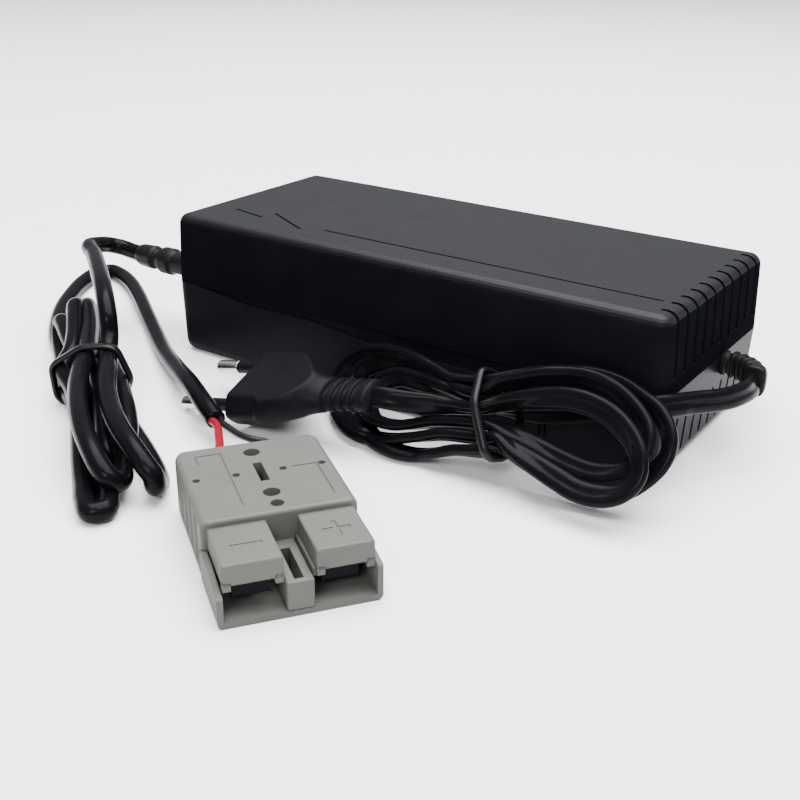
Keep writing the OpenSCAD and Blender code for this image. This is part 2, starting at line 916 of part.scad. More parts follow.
module connector_housing() {
    color("#a0a09b")
    at_connector()
        difference() {
            union() {
                con_block_form();
                hood(left_hood);
                hood(right_hood);
                box([0, 0, 0], [con_w, con_block + 4, tray_t]);
                box([web[0], 0, 0], [web[1], con_block + eps, web_h]);
                translate([0, 0, 0])
                    rotate([90, 0, 90])
                        linear_extrude(1.4)
                            polygon([[0, 0], [con_block + eps, 0], [con_block + eps, hood_low],
                                [con_block - 6, hood_low], [0, web_h - 1]]);
                translate([con_w - 1.3, 0, 0])
                    rotate([90, 0, 90])
                        linear_extrude(1.3)
                            polygon([[0, 0], [con_block + eps, 0], [con_block + eps, hood_low + 1],
                                [con_block - 6, hood_low + 1], [0, hood_low]]);
            }
            box([left_cell[0], con_block - 1, tray_t], [left_cell[1], cell_back, hood_low]);
            box([right_cell[0], con_block - 1, tray_t], [right_cell[1], cell_back, hood_low]);
            box([17, 1.3, 3], [19.1, 13.8, con_h]);
            for (v = [47.2, 26.3])
                translate([con_mid, v, -1])
                    cylinder(h = con_h + 2, r = fix_r);
            translate([con_mid, 21, -1])
                cylinder(h = con_h + 2, r = pin_hole_r);
            box([17.3, 32.1, -1], [19.4, 41.4, con_h + 1]);
            for (u = [3, 12.4, 23.7, 33.2])
                translate([u, 36.8, con_h - engrave])
                    cylinder(h = 1, r = 0.9, $fn = 24);
            for (i = [0 : len(outline_left) - 2])
                engraved_line(outline_left[i], outline_left[i + 1]);
            for (i = [0 : len(outline_right) - 2])
                engraved_line(outline_right[i], outline_right[i + 1]);
            box([5, 10.1, hood_top - engrave], [12, 11.2, con_h]);
            box([26.1, 10.35, hood_top - engrave], [32.5, 11.45, con_h]);
            box([28.75, 7.7, hood_top - engrave], [29.85, 14.1, con_h]);
        }
}

// a flat blade with a barrel behind it for the wire
module contact(u) {
    at_connector()
        difference() {
            union() {
                box([u - 4.2, 5, 6], [u + 4.2, cell_back - 0.5, 7.8]);
                box([u - 4.2, 5, 4.4], [u + 4.2, 6.8, 6 + eps]);
                translate([u, 0, entry_h])
                    rod_y(cell_back - 1, barrel_back, barrel_r);
            }
            translate([u, 0, entry_h])
                rod_y(barrel_back - 4, barrel_back + 1, 1.4);
        }
}

module contact_red() {
    color("#c9ccd0")
    contact(red_u);
}

module contact_black() {
    color("#c9ccd0")
    contact(black_u);
}

// a leaf that lies on the tray's floor and presses the blade up
module contact_spring(u) {
    at_connector()
        translate([u - 3, 0, 0])
            rotate([90, 0, 90])
                linear_extrude(6)
                    polygon([[cell_back - 1, tray_t], [cell_back - 1, tray_t + 0.6],
                        [20, tray_t + 0.6], [11, 6], [8.6, 6], [8.6, 5.4], [10.6, 5.4],
                        [19.6, tray_t]]);
}

module spring_red() {
    color("#8f9298")
    contact_spring(red_u);
}

module spring_black() {
    color("#8f9298")
    contact_spring(black_u);
}

// mains cord, from the relief's end along the case into the hank
bend_end = [end_x + ac_straight + ac_bend_r * cos(90 - ac_bend),
    ac_y - ac_bend_r + ac_bend_r * sin(90 - ac_bend), ac_z];
bend_dir = [sin(90 - ac_bend), -cos(90 - ac_bend), 0];
ac_in_line = [bend_end, bend_end + 2 * bend_dir, [97.5, -6.5, 21.5], [97.4, -11, 21.9],
    [96, -16.6, 22.1], [93.6, -21.6, 22.4], [91, -25.8, 22.8], [89.1, -29.3, 23.2],
    [87.4, -33, 23.7], [85, -36.6, 24], [81.6, -38.7, 23.7],
    [78.2, -39.3, 23], [74, -39.3, 21.4], [68.2, -39.4, 18], [61, -39.6, 15], [53, -40.4, 12.8],
    [46.4, -42.8, 12.6], [41.4, -46.4, 14], [37.4, -50, 15.4]];
// mains cord, from the hank to the plug's neck
ac_out_line = [[37.4, -49.6, 15.6], [34, -52.4, 16.2], [29.4, -55.4, 16.8], [24.6, -58.6, 17.6],
    [20.4, -61.2, 18.6], [16.6, -62.7, 19.3]];

ac_mid = [0, -50.2, 16.6];
ac_back = -2.9;
ac_front = 8.6;
ac_right_x = 72.8;
ac_left_x = 8.4;
ac_left_drop = -3.2;
ac_tie_x = 39;
ac_tie_w = 2.6;

// x along the case, y up the leaning plane, z out of it towards the front
module at_ac_coil() {
    translate(ac_mid)
        rotate([ac_lean, 0, 0])
            children();
}

module ac_coil_form() {
    h = ac_waist / 2;
    translate([0, 0, ac_back])
        linear_extrude(ac_front - ac_back)
            union() {
                translate([ac_right_x, 0])
                    circle(ac_right_r);
                translate([ac_left_x, ac_left_drop])
                    circle(ac_left_r);
                polygon([[ac_right_x, ac_right_r], [ac_tie_x + 6, h], [ac_tie_x - 6, h],
                    [ac_left_x, ac_left_drop + ac_left_r], [ac_left_x, ac_left_drop - ac_left_r],
                    [ac_tie_x - 6, -h], [ac_tie_x + 6, -h], [ac_right_x, -ac_right_r]]);
            }
}

module ac_tie_ring() {
    h = ac_waist / 2;
    difference() {
        translate([ac_tie_x - ac_tie_w / 2, -h - tie_t + tie_sink, ac_back])
            cube([ac_tie_w, 2 * (h + tie_t - tie_sink), ac_front - ac_back]);
        translate([ac_tie_x - ac_tie_w, -h + tie_sink, ac_back + tie_t])
            cube([2 * ac_tie_w, 2 * (h - tie_sink), ac_front - ac_back - 2 * tie_t]);
    }
}

// the hank with a seat where the plug lies in it
module ac_coil() {
    color("#1b1c1e")
    difference() {
        at_ac_coil()
            difference() {
                ac_coil_form();
                ac_tie_ring();
            }
        at_plug()
            plug_seat();
    }
}

module ac_tie() {
    color("#101113")
    at_ac_coil()
        ac_tie_ring();
}

module ac_cord_in() {
    color("#1b1c1e")
    difference() {
        skin(ac_in_line, ac_t / 2, ac_w / 2, 10);
        at_ac_coil()
            ac_coil_form();
    }
}

// plug, drawn with its face at zero, the pins along X and the flat side up
plug_place = [-30.66, -63.3, 9.27];
plug_turn = [-18.2, 12.55, 180.1];
body_mid = -19.5;
neck_half = 5.4;
flat_t = 0.8;

module at_plug() {
    translate(plug_place)
        rotate(plug_turn)
            children();
}

plug_dir = [cos(plug_turn[1]) * cos(plug_turn[2]), cos(plug_turn[1]) * sin(plug_turn[2]),
    -sin(plug_turn[1])];
neck_end = plug_place - (plug_len + neck_len) * plug_dir;

module ac_cord_out() {
    color("#1b1c1e")
    difference() {
        skin(concat(ac_out_line, [neck_end]), ac_t / 2, ac_w / 2, 10);
        at_ac_coil()
            ac_coil_form();
        at_plug()
            translate([-plug_len - neck_len, -neck_half, -neck_half])
                cube([plug_len, 2 * neck_half, 2 * neck_half]);
    }
}

module plug_seat() {
    translate([body_mid, 0, -body_t / 2])
        cylinder(h = 3 * body_t, r = plug_r + play);
    translate([-plug_len - neck_len - 1, -neck_half - play, -neck_half - play])
        cube([neck_len + plug_len / 2, 2 * (neck_half + play), 3 * body_t]);
}

module plug_plan() {
    translate([-nose_len, -nose_half])
        square([nose_len, 2 * nose_half]);
    intersection() {
        translate([body_mid, 0])
            circle(plug_r);
        translate([-plug_len - plug_r, -plug_r])
            square([plug_len + plug_r - nose_len + eps, 2 * plug_r]);
    }
    translate([-plug_len - neck_len, -neck_half])
        square([neck_len + 4, 2 * neck_half]);
}

module plug_side() {
    polygon([[0, -nose_t / 2], [0, nose_t / 2], [-nose_len, nose_t / 2],
        [-nose_len - 1, body_t / 2], [-plug_len + 6, body_t / 2], [-plug_len, neck_half - 0.8],
        [-plug_len - neck_len, neck_half - 1.2], [-plug_len - neck_len, 1.2 - neck_half],
        [-plug_len, 0.8 - neck_half], [-plug_len + 6, -body_t / 2],
        [-nose_len - 1, -body_t / 2], [-nose_len, -nose_t / 2]]);
}

module plug_body() {
    color("#1d1e21")
    at_plug()
        difference() {
            union() {
                intersection() {
                    translate([0, 0, -body_t])
                        linear_extrude(2 * body_t)
                            plug_plan();
                    rotate([90, 0, 0])
                        translate([0, 0, -plug_r])
                            linear_extrude(2 * plug_r)
                                plug_side();
                }
                intersection() {
                    translate([body_mid + 1.5, 0, body_t / 2 - eps])
                        cylinder(h = flat_t, r = plug_r - 3.2);
                    translate([body_mid - plug_r, -plug_r, 0])
                        cube([plug_r - body_mid - plug_r - nose_len - 2 + plug_r, 2 * plug_r, body_t]);
                }
            }
            for (i = [0 : 3])
                for (s = [-1, 1])
                    translate([-plug_len - neck_len + 2.2 + i * 2.8, s * (neck_half + 0.6) - 2, -body_t])
                        cube([1.1, 4, 2 * body_t]);
            for (s = [-1, 1])
                translate([0, s * pin_half, 0])
                    rod_x(-8, 1, sleeve_r);
        }
}

module plug_pin(s) {
    color("#c6c9cc")
    at_plug()
        translate([0, s * pin_half, 0])
            union() {
                rod_x(-8, sleeve_len, sleeve_r - sleeve_t);
                rod_x(sleeve_len, pin_len - 1, pin_r);
                translate([pin_len - 1, 0, 0])
                    rotate([0, 90, 0])
                        cylinder(h = 1, r1 = pin_r, r2 = pin_r - 0.8);
            }
}

module sleeve(s) {
    color("#141517")
    at_plug()
        translate([0, s * pin_half, 0])
            difference() {
                rod_x(-8, sleeve_len, sleeve_r);
                rod_x(-9, sleeve_len + 1, sleeve_r - sleeve_t);
            }
}

module plug_pin_near() {
    plug_pin(1);
}

module plug_pin_far() {
    plug_pin(-1);
}

module sleeve_near() {
    sleeve(1);
}

module sleeve_far() {
    sleeve(-1);
}

top_shell();
bottom_shell();
case_screws();
circuit_board();
board_screws();
transformer_core();
transformer_winding();
choke_core();
choke_windings();
bulk_capacitor();
filter_capacitor();
output_capacitors();
primary_heatsink();
output_heatsink();
switch_transistor();
output_rectifier();
bridge_rectifier();
fuse_glass();
fuse_caps();
inductor_core();
inductor_winding();
status_lamp();
dc_strain_relief();
ac_strain_relief();
dc_cord_in();
dc_coil();
dc_cord_out();
dc_tie();
red_wire();
black_wire();
connector_housing();
contact_red();
contact_black();
spring_red();
spring_black();
ac_cord_in();
ac_coil();
ac_cord_out();
ac_tie();
plug_body();
plug_pin_near();
plug_pin_far();
sleeve_near();
sleeve_far();
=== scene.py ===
# %% [markdown]
# # Battery charger
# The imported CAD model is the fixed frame. This file adds the looks: cords that are wound as in the
# photo, their ties, the plug's soft body, both strain reliefs, the connector's moulded housing and a
# material for each surface. Lengths are written in millimetres and put into the scene in metres.
# %% the frame and tools
import json
import math
import bpy
import numpy as np
from mathutils import Matrix

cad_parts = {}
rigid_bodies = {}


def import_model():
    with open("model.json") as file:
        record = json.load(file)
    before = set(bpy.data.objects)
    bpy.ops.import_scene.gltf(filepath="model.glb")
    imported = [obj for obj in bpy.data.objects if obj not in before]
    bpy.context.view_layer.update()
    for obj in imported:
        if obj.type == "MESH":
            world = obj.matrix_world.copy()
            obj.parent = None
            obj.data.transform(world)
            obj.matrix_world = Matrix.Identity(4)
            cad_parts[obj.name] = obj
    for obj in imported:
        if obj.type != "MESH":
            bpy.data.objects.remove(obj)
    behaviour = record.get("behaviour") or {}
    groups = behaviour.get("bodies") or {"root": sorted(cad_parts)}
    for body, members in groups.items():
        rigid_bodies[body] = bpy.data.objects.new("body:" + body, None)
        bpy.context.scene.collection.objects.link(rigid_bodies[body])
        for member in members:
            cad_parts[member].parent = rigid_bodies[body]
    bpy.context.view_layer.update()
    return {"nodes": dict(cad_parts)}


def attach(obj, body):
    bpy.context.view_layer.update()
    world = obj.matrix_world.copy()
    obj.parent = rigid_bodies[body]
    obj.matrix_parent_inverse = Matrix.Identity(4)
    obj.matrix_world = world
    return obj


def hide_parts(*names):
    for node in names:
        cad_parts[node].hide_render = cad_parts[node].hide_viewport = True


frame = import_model()
MM = 0.001
print("nodes in the frame:", len(frame["nodes"]))

# %% [markdown]
# ## Camera
# The camera's place and turn were solved from the case's corners in the photo. It could be aimed by
# eye, but then every place worked out from the photo through it would carry that error.
# %% the camera
def camera_axes(yaw, pitch, roll):
    """Its side, up and ahead directions, for a camera that looks along +Y before it is turned."""
    level = np.array([math.cos(yaw), math.sin(yaw), 0.0])
    ahead = np.array([-math.sin(yaw) * math.cos(pitch), math.cos(yaw) * math.cos(pitch), -math.sin(pitch)])
    above = np.cross(level, ahead)
    side = math.cos(roll) * level + math.sin(roll) * above
    return side, -math.sin(roll) * level + math.cos(roll) * above, ahead

CAMERA_PLACE = np.array([176.2, -287.1, 141.4])
side, up, ahead = camera_axes(*(math.radians(a) for a in (34.37, 24.29, 0.66)))
lens = bpy.data.cameras.new("camera")
lens.lens, lens.sensor_width, lens.clip_start = 50.76, 36.0, 0.01
camera = bpy.data.objects.new("camera", lens)
bpy.context.collection.objects.link(camera)
turn = np.eye(4)
turn[:3, 0], turn[:3, 1], turn[:3, 2] = side, up, -ahead
turn[:3, 3] = CAMERA_PLACE * MM
camera.matrix_world = Matrix(turn.tolist())
bpy.context.scene.camera = camera
print("camera at", turn[:3, 3].round(3).tolist())

# %% [markdown]
# ## Meshes from points
# Most pieces here are rings of points that follow each other. Blender's own tubes and bevels would do
# for one or two, but a formula gives every ring its own size, and the same faces join them all.
# %% a mesh and the faces between rings
def new_mesh(name, points, faces, smooth=True):
    """A mesh whose faces look outward: the sum of area times normal . centre is three volumes."""
    mesh = bpy.data.meshes.new(name)
    mesh.from_pydata(np.asarray(points, float).tolist(), [], [list(map(int, f)) for f in faces])
    mesh.polygons.foreach_set("use_smooth", [smooth] * len(mesh.polygons))
    count = len(mesh.polygons)
    area, normal, centre = np.empty(count), np.empty(3 * count), np.empty(3 * count)
    for key, values in (("area", area), ("normal", normal), ("center", centre)):
        mesh.polygons.foreach_get(key, values)
    if area @ np.sum((normal * centre).reshape(-1, 3), axis=1) < 0:
        mesh.flip_normals()
    piece = bpy.data.objects.new(name, mesh)
    bpy.context.collection.objects.link(piece)
    return piece

def ring_faces(m, n):
    """Faces between m rings of n points each, and a cap at both ends."""
    i, k = np.meshgrid(np.arange(m - 1), np.arange(n), indexing="ij")
    k2 = (k + 1) % n
    faces = np.stack([i * n + k, i * n + k2, (i + 1) * n + k2, (i + 1) * n + k], -1).reshape(-1, 4)
    return faces.tolist() + [list(range(n))[::-1], [(m - 1) * n + q for q in range(n)]]

def dressed(name, points, faces, finish, smooth=True):
    """A piece in its finish, on the charger's one body."""
    piece = new_mesh(name, points, faces, smooth)
    piece.data.materials.append(finish)
    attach(piece, "root")
    return piece
print("mesh tools ready")

# %% [markdown]
# ## Floor and light
# The photo is a cut-out on white, lit softly from above. A wide lamp hangs over the case, and three
# weaker ones stand in front, over the cords and behind. A sky picture could light it too, but its
# colours are harder to steer.
# %% floor and light
def area_light(name, place, aim, size, power):
    light = bpy.data.lights.new(name, "AREA")
    light.shape, light.size, light.size_y = "RECTANGLE", size[0], size[1]
    light.energy = power
    lamp = bpy.data.objects.new(name, light)
    bpy.context.collection.objects.link(lamp)
    away = np.array(place, float) - np.array(aim, float)
    away /= np.linalg.norm(away)
    flat = np.cross((0.0, 0.0, 1.0), away)
    flat /= np.linalg.norm(flat)
    pose = np.eye(4)
    pose[:3, 0], pose[:3, 1], pose[:3, 2], pose[:3, 3] = flat, np.cross(away, flat), away, place
    lamp.matrix_world = Matrix(pose.tolist())

floor = new_mesh("floor", [(-3, -3, 0), (3, -3, 0), (3, 3, 0), (-3, 3, 0)], [(0, 1, 2, 3)], False)
area_light("top", (0.05, 0.2, 1.3), (0, -0.05, 0), (1.7, 1.3), 88)
area_light("front", (0.35, -1.0, 0.75), (0, -0.05, 0), (0.5, 0.35), 10)
area_light("key", (-0.12, -0.4, 1.0), (0, -0.08, 0), (0.12, 0.12), 2.5)
area_light("rim", (0.9, 0.5, 0.9), (0.05, 0, 0.02), (0.5, 0.4), 1.0)
world = bpy.data.worlds.new("studio")
world.use_nodes = True
world.node_tree.nodes["Background"].inputs[0].default_value = (0.9, 0.93, 1.0, 1)
world.node_tree.nodes["Background"].inputs[1].default_value = 0.55
bpy.context.scene.world = world
print("floor and four soft lights")

# %% [markdown]
# ## Materials
# The case is finely textured plastic, the cords are smooth soft plastic. Each material is a few nodes:
# a colour and a roughness that vary a little, and a fine grain as a bump. A bevel node rounds the light
# on the CAD edges, which saves cutting real bevels into the CAD's solids; those stay as they are. side_shine
# makes upright faces reflect less than level ones. Real plastic doesn't do that: it stands in for the dark
# surroundings that the photo's walls reflect.
# %% one surface
def material(name, colour, rough, grain=0.0, grain_size=0.0006, vary=0.1, metal=0.0, edge=0.0,
             shine=0.5, side_shine=None, clear=0.0):
    made = bpy.data.materials.new(name)
    made.use_nodes = True
    tree = made.node_tree
    node, link = tree.nodes.new, tree.links.new
    skin = tree.nodes["Principled BSDF"]
    skin.inputs["Metallic"].default_value = metal
    skin.inputs["Specular IOR Level"].default_value = shine
    if side_shine is not None:
        facing = node("ShaderNodeNewGeometry")
        height = node("ShaderNodeSeparateXYZ")
        link(facing.outputs["True Normal"], height.inputs["Vector"])
        level = node("ShaderNodeMapRange")
        level.inputs["From Min"].default_value, level.inputs["From Max"].default_value = 0.3, 0.9
        level.inputs["To Min"].default_value, level.inputs["To Max"].default_value = side_shine, shine
        link(height.outputs["Z"], level.inputs["Value"])
        link(level.outputs["Result"], skin.inputs["Specular IOR Level"])
    skin.inputs["Transmission Weight"].default_value = clear
    where = node("ShaderNodeTexCoord")
    cloud = node("ShaderNodeTexNoise")
    cloud.inputs["Scale"].default_value = 90.0
    cloud.inputs["Detail"].default_value = 4.0
    link(where.outputs["Object"], cloud.inputs["Vector"])
    tone = node("ShaderNodeValToRGB")
    dark = [max(c * (1 - vary), 0) for c in colour]
    light = [min(c * (1 + vary), 1) for c in colour]
    tone.color_ramp.elements[0].color = (*dark, 1)
    tone.color_ramp.elements[0].position = 0.3
    tone.color_ramp.elements[1].color = (*light, 1)
    tone.color_ramp.elements[1].position = 0.7
    link(cloud.outputs["Fac"], tone.inputs["Fac"])
    link(tone.outputs["Color"], skin.inputs["Base Color"])
    gloss = node("ShaderNodeMapRange")
    gloss.inputs["To Min"].default_value = max(rough - 0.06, 0.02)
    gloss.inputs["To Max"].default_value = min(rough + 0.06, 1.0)
    link(cloud.outputs["Fac"], gloss.inputs["Value"])
    link(gloss.outputs["Result"], skin.inputs["Roughness"])
    last = None
    if edge:
        rounder = node("ShaderNodeBevel")
        rounder.samples = 4
        rounder.inputs["Radius"].default_value = edge
        last = rounder.outputs["Normal"]
    if grain:
        spots = node("ShaderNodeTexNoise")
        spots.inputs["Scale"].default_value = 1.0 / grain_size
        spots.inputs["Detail"].default_value = 2.0
        link(where.outputs["Object"], spots.inputs["Vector"])
        bump = node("ShaderNodeBump")
        bump.inputs["Strength"].default_value = grain
        bump.inputs["Distance"].default_value = 0.0002
        link(spots.outputs["Fac"], bump.inputs["Height"])
        if last:
            link(last, bump.inputs["Normal"])
        last = bump.outputs["Normal"]
    if last:
        link(last, skin.inputs["Normal"])
    return made

# %% finishes of the outside
CASE = material("case_textured_black", (0.004, 0.0043, 0.0058), 0.48, 0.35, 0.0005, 0.12, edge=0.0004,
                shine=0.17, side_shine=0.0)
LOWER = material("case_lower_black", (0.006, 0.0063, 0.0085), 0.38, 0.2, 0.0005, 0.12, edge=0.0004,
                 shine=0.03)
RUBBER = material("relief_rubber", (0.004, 0.004, 0.0045), 0.4, 0.15, 0.0005, 0.15, edge=0.0003, shine=0.1)
CORD = material("cord_black_pvc", (0.0028, 0.003, 0.0038), 0.24, 0.1, 0.0012, 0.15, shine=0.045)
TIE = material("tie_black", (0.004, 0.004, 0.005), 0.3, 0.1, 0.0008, 0.1, shine=0.15)
RED = material("wire_red", (0.19, 0.005, 0.013), 0.34, 0.08, 0.0008, 0.06, shine=0.05)
BLACK = material("wire_black", (0.006, 0.006, 0.007), 0.33, 0.08, 0.0008, 0.1, shine=0.25)
GREY = material("connector_grey", (0.09, 0.09, 0.083), 0.42, 0.25, 0.0004, 0.05, edge=0.0004,
                shine=0.21, side_shine=0.02)
PLUG = material("plug_black", (0.004, 0.0042, 0.0052), 0.42, 0.2, 0.0005, 0.12, edge=0.0005, shine=0.05)
PIN = material("pin_nickel", (0.72, 0.7, 0.66), 0.22, 0.1, 0.0005, 0.05, metal=1.0, edge=0.0002)
# the contacts sit deep in the connector's cells: their colour is painted shade, near black and not metal,
# though the real blades are metal
BLADE = material("contact_painted_shade", (0.007, 0.0075, 0.009), 0.5, 0.1, 0.0005, 0.1, edge=0.0002, shine=0.04)
STEEL = material("screw_steel", (0.5, 0.5, 0.5), 0.35, 0.1, 0.0005, 0.08, metal=1.0)
PALE = material("floor_pale", (0.93, 0.93, 0.93), 0.9, 0.0, 0.001, 0.01)
floor.data.materials.append(PALE)

# %% finishes of the board's parts, and all of them put on
INNER = {
    "circuit_board": material("board_green", (0.03, 0.14, 0.06), 0.45, 0.2, 0.002, 0.2),
    "transformer_core": material("ferrite", (0.05, 0.05, 0.052), 0.6, 0.3, 0.0006, 0.1),
    "transformer_winding": material("winding_tape", (0.75, 0.55, 0.05), 0.5, 0.1, 0.002, 0.1),
    "choke_core": material("choke_ferrite", (0.05, 0.05, 0.052), 0.6, 0.3, 0.0006, 0.1),
    "choke_windings": material("copper_enamel", (0.5, 0.17, 0.06), 0.3, 0.4, 0.0005, 0.2),
    "bulk_capacitor": material("capacitor_sleeve", (0.02, 0.03, 0.08), 0.35, 0.1, 0.002, 0.1),
    "filter_capacitor": material("film_capacitor", (0.5, 0.4, 0.05), 0.4, 0.1, 0.002, 0.1),
    "output_capacitors": material("capacitor_black", (0.02, 0.02, 0.022), 0.35, 0.1, 0.002, 0.1),
    "primary_heatsink": material("aluminium", (0.7, 0.7, 0.7), 0.4, 0.2, 0.0008, 0.05, metal=1.0),
    "output_heatsink": material("aluminium_output", (0.7, 0.7, 0.7), 0.4, 0.2, 0.0008, 0.05, metal=1.0),
    "switch_transistor": material("package_black", (0.02, 0.02, 0.02), 0.5, 0.2, 0.0005, 0.1),
    "output_rectifier": material("package_dark", (0.02, 0.02, 0.02), 0.5, 0.2, 0.0005, 0.1),
    "bridge_rectifier": material("bridge_black", (0.03, 0.03, 0.03), 0.5, 0.2, 0.0005, 0.1),
    "fuse_glass": material("glass", (0.9, 0.95, 0.93), 0.05, vary=0.02, clear=0.9),
    "fuse_caps": material("fuse_metal", (0.75, 0.75, 0.74), 0.3, 0.1, 0.0005, 0.05, metal=1.0),
    "inductor_core": material("powder_core", (0.6, 0.5, 0.08), 0.6, 0.3, 0.0006, 0.1),
    "inductor_winding": material("copper_wire", (0.5, 0.17, 0.06), 0.3, 0.4, 0.0005, 0.2),
    "status_lamp": material("lamp_lens", (0.25, 0.5, 0.2), 0.15, vary=0.05, clear=0.5),
}
FINISH = {"top_shell": CASE, "bottom_shell": LOWER, "case_screws": STEEL, "board_screws": STEEL,
          "contact_red": BLADE, "contact_black": BLADE, "spring_red": STEEL, "spring_black": STEEL,
          "plug_pin_near": PIN, "plug_pin_far": PIN, "sleeve_near": RUBBER,
          "sleeve_far": RUBBER, **INNER}
for name, finish in FINISH.items():
    held = frame["nodes"][name].data.materials
    held.clear()
    held.append(finish)
print("materials:", len(bpy.data.materials))

# %% [markdown]
# ## A smooth path and a tube
# A cord keeps its section and bends without kinks between the points of its route. A Blender curve
# with a bevel does this too, but it hides the flat cord's turning, which is wanted point by point here.
# %% a smooth path
def smooth(points, step=0.8):
    """Centripetal Catmull-Rom: each stretch is the cubic that meets its four neighbours' points."""
    p = np.asarray(points, float)
    gap = np.r_[0, np.cumsum(np.linalg.norm(np.diff(p[:, :3], axis=0), axis=1) ** 0.5)]
    q = np.vstack([2 * p[0] - p[1], p, 2 * p[-1] - p[-2]])
    t = np.r_[2 * gap[0] - gap[1], gap, 2 * gap[-1] - gap[-2]]
    out = []
    for i in range(len(p) - 1):
        (p0, p1, p2, p3), (t0, t1, t2, t3) = q[i:i + 4], t[i:i + 4]
        count = max(2, math.ceil(np.linalg.norm((p2 - p1)[:3]) / step))
        s = np.linspace(t1, t2, count, endpoint=False)[:, None]
        a1 = (t1 - s) / (t1 - t0) * p0 + (s - t0) / (t1 - t0) * p1
        a2 = (t2 - s) / (t2 - t1) * p1 + (s - t1) / (t2 - t1) * p2
        a3 = (t3 - s) / (t3 - t2) * p2 + (s - t2) / (t3 - t2) * p3
        b1 = (t2 - s) / (t2 - t0) * a1 + (s - t0) / (t2 - t0) * a2
        b2 = (t3 - s) / (t3 - t1) * a2 + (s - t1) / (t3 - t1) * a3
        out.append((t2 - s) / (t2 - t1) * b1 + (s - t1) / (t2 - t1) * b2)
    return np.vstack(out + [p[-1:]])

def length_of(path):
    return float(np.linalg.norm(np.diff(path, axis=0), axis=1).sum())

def headings(path):
    t = np.gradient(path, axis=0)
    return t / np.linalg.norm(t, axis=1)[:, None]

def carried(path, first):
    """Turns the start direction along the path with no twist of its own (double reflection)."""
    t = headings(path)
    r = np.empty_like(path)
    r[0] = first - t[0] * (first @ t[0])
    r[0] /= np.linalg.norm(r[0])
    for i in range(len(path) - 1):
        v = path[i + 1] - path[i]
        c = v @ v
        ri = r[i] - 2 / c * (v @ r[i]) * v
        ti = t[i] - 2 / c * (v @ t[i]) * v
        v2 = t[i + 1] - ti
        c2 = max(v2 @ v2, 1e-12)
        r[i + 1] = ri - 2 / c2 * (v2 @ ri) * v2
    return r

# %% a tube and its sections
def tube(name, path, wide, section, finish):
    """P(i, k) = path_i + x_k W_i + y_k H_i, with W the wide direction and H = T x W."""
    t = headings(path)
    w = wide - t * np.sum(wide * t, axis=1)[:, None]
    w /= np.linalg.norm(w, axis=1)[:, None]
    h = np.cross(t, w)
    section = np.broadcast_to(section, (len(path), *section.shape[-2:]))
    rings = path[:, None] + section[..., :1] * w[:, None] + section[..., 1:] * h[:, None]
    return dressed(name, rings.reshape(-1, 3) * MM, ring_faces(*rings.shape[:2]), finish)

def round_section(radius, sides=20):
    a = np.linspace(0, 2 * math.pi, sides, endpoint=False)
    return radius * np.stack([np.cos(a), np.sin(a)], 1)

def twin_section(width, thick, sides=32):
    """x = w/2 |cos a|^0.9 and y = t/2 |sin a|^0.75 (1 - 0.2 e^(-(x/0.13w)^2)), each with its sign."""
    a = np.linspace(0, 2 * math.pi, sides, endpoint=False)
    x = width / 2 * np.sign(np.cos(a)) * np.abs(np.cos(a)) ** 0.9
    y = thick / 2 * np.sign(np.sin(a)) * np.abs(np.sin(a)) ** 0.75
    return np.stack([x, y * (1 - 0.2 * np.exp(-(x / (0.13 * width)) ** 2))], 1)
print("path and tube tools ready")

# %% [markdown]
# ## The cords' routes
# A lead is a soft tube of one thickness, wound by hand and tied. A rope simulation would settle into
# some other hank, so each cord is one smooth curve through listed points. A point is written in
# the way it was found: as a place in millimetres, as a place in the photo with the strand's height, or
# as a place in a hank. The helpers below turn the last two into millimetres, through the camera as it
# was solved, which has more digits than the one that renders. The points are kept to 0.1 mm. The
# turns of a hank all differ, so they are listed one by one and not made by a loop.
# %% from the photo and the hanks to millimetres
UP = np.array([0.0, 0.0, 1.0])
SOLVED_AXES = camera_axes(0.59985415, 0.42394836, 0.01147582)
SOLVED_PLACE = np.array([176.208358, -287.143719, 141.383989])
FOCUS, PHOTO_MIDDLE = 1127.99399, 400.0
# the output hank lies on the floor: its near end, its length and its width
HANK_END = np.array([-16.0, -125.0, 0.0])
HANK_ALONG = np.array([-0.825, 0.565, 0.0])
HANK_ACROSS = np.array([0.565, 0.825, 0.0])
# the mains hank leans on the case: its middle, up the slope and away from it
LEAN_MIDDLE = np.array([0.0, -50.2, 16.6])
LEAN_UP = np.array([0.0, 0.6, 0.8])
LEAN_OUT = np.array([0.0, -0.8, 0.6])
# two enlarged pieces of the photo: left edge, top edge and how many times larger
RIGHT_PIECE = (430, 330, 5.807)
LEFT_PIECE = (325, 330, 8.96)

def sight(x, y):
    """Direction from the camera through the place (x, y) in the photo."""
    side, up, ahead = SOLVED_AXES
    return (x - PHOTO_MIDDLE) / FOCUS * side - (y - PHOTO_MIDDLE) / FOCUS * up + ahead

def at_height(*places):
    """(x, y, z): where the line of sight through (x, y) meets the height z."""
    lines = [(sight(x, y), z) for x, y, z in places]
    return [SOLVED_PLACE + (z - SOLVED_PLACE[2]) / line[2] * line for line, z in lines]

def in_hank(*places):
    """(a, b, z): a along the output hank from its near end, b across it, z above the floor."""
    return [HANK_END + a * HANK_ALONG + b * HANK_ACROSS + z * UP for a, b, z in places]

def on_slope(piece, *places):
    """(x, y, out, turn): where the line of sight meets the slope, moved out, but never in the floor."""
    left, top, larger = piece
    found = []
    for x, y, out, turn in places:
        x, y = left + x / larger, top + y / larger
        line, lowest = sight(x, y), 2.1 + 0.54 * math.sin(math.radians(turn))
        gap = (LEAN_MIDDLE + out * LEAN_OUT - SOLVED_PLACE) @ LEAN_OUT
        point = SOLVED_PLACE + gap / (line @ LEAN_OUT) * line
        if point[2] < lowest:
            point = at_height((x, y, lowest))[0]
        found.append((*point, turn))
    return found

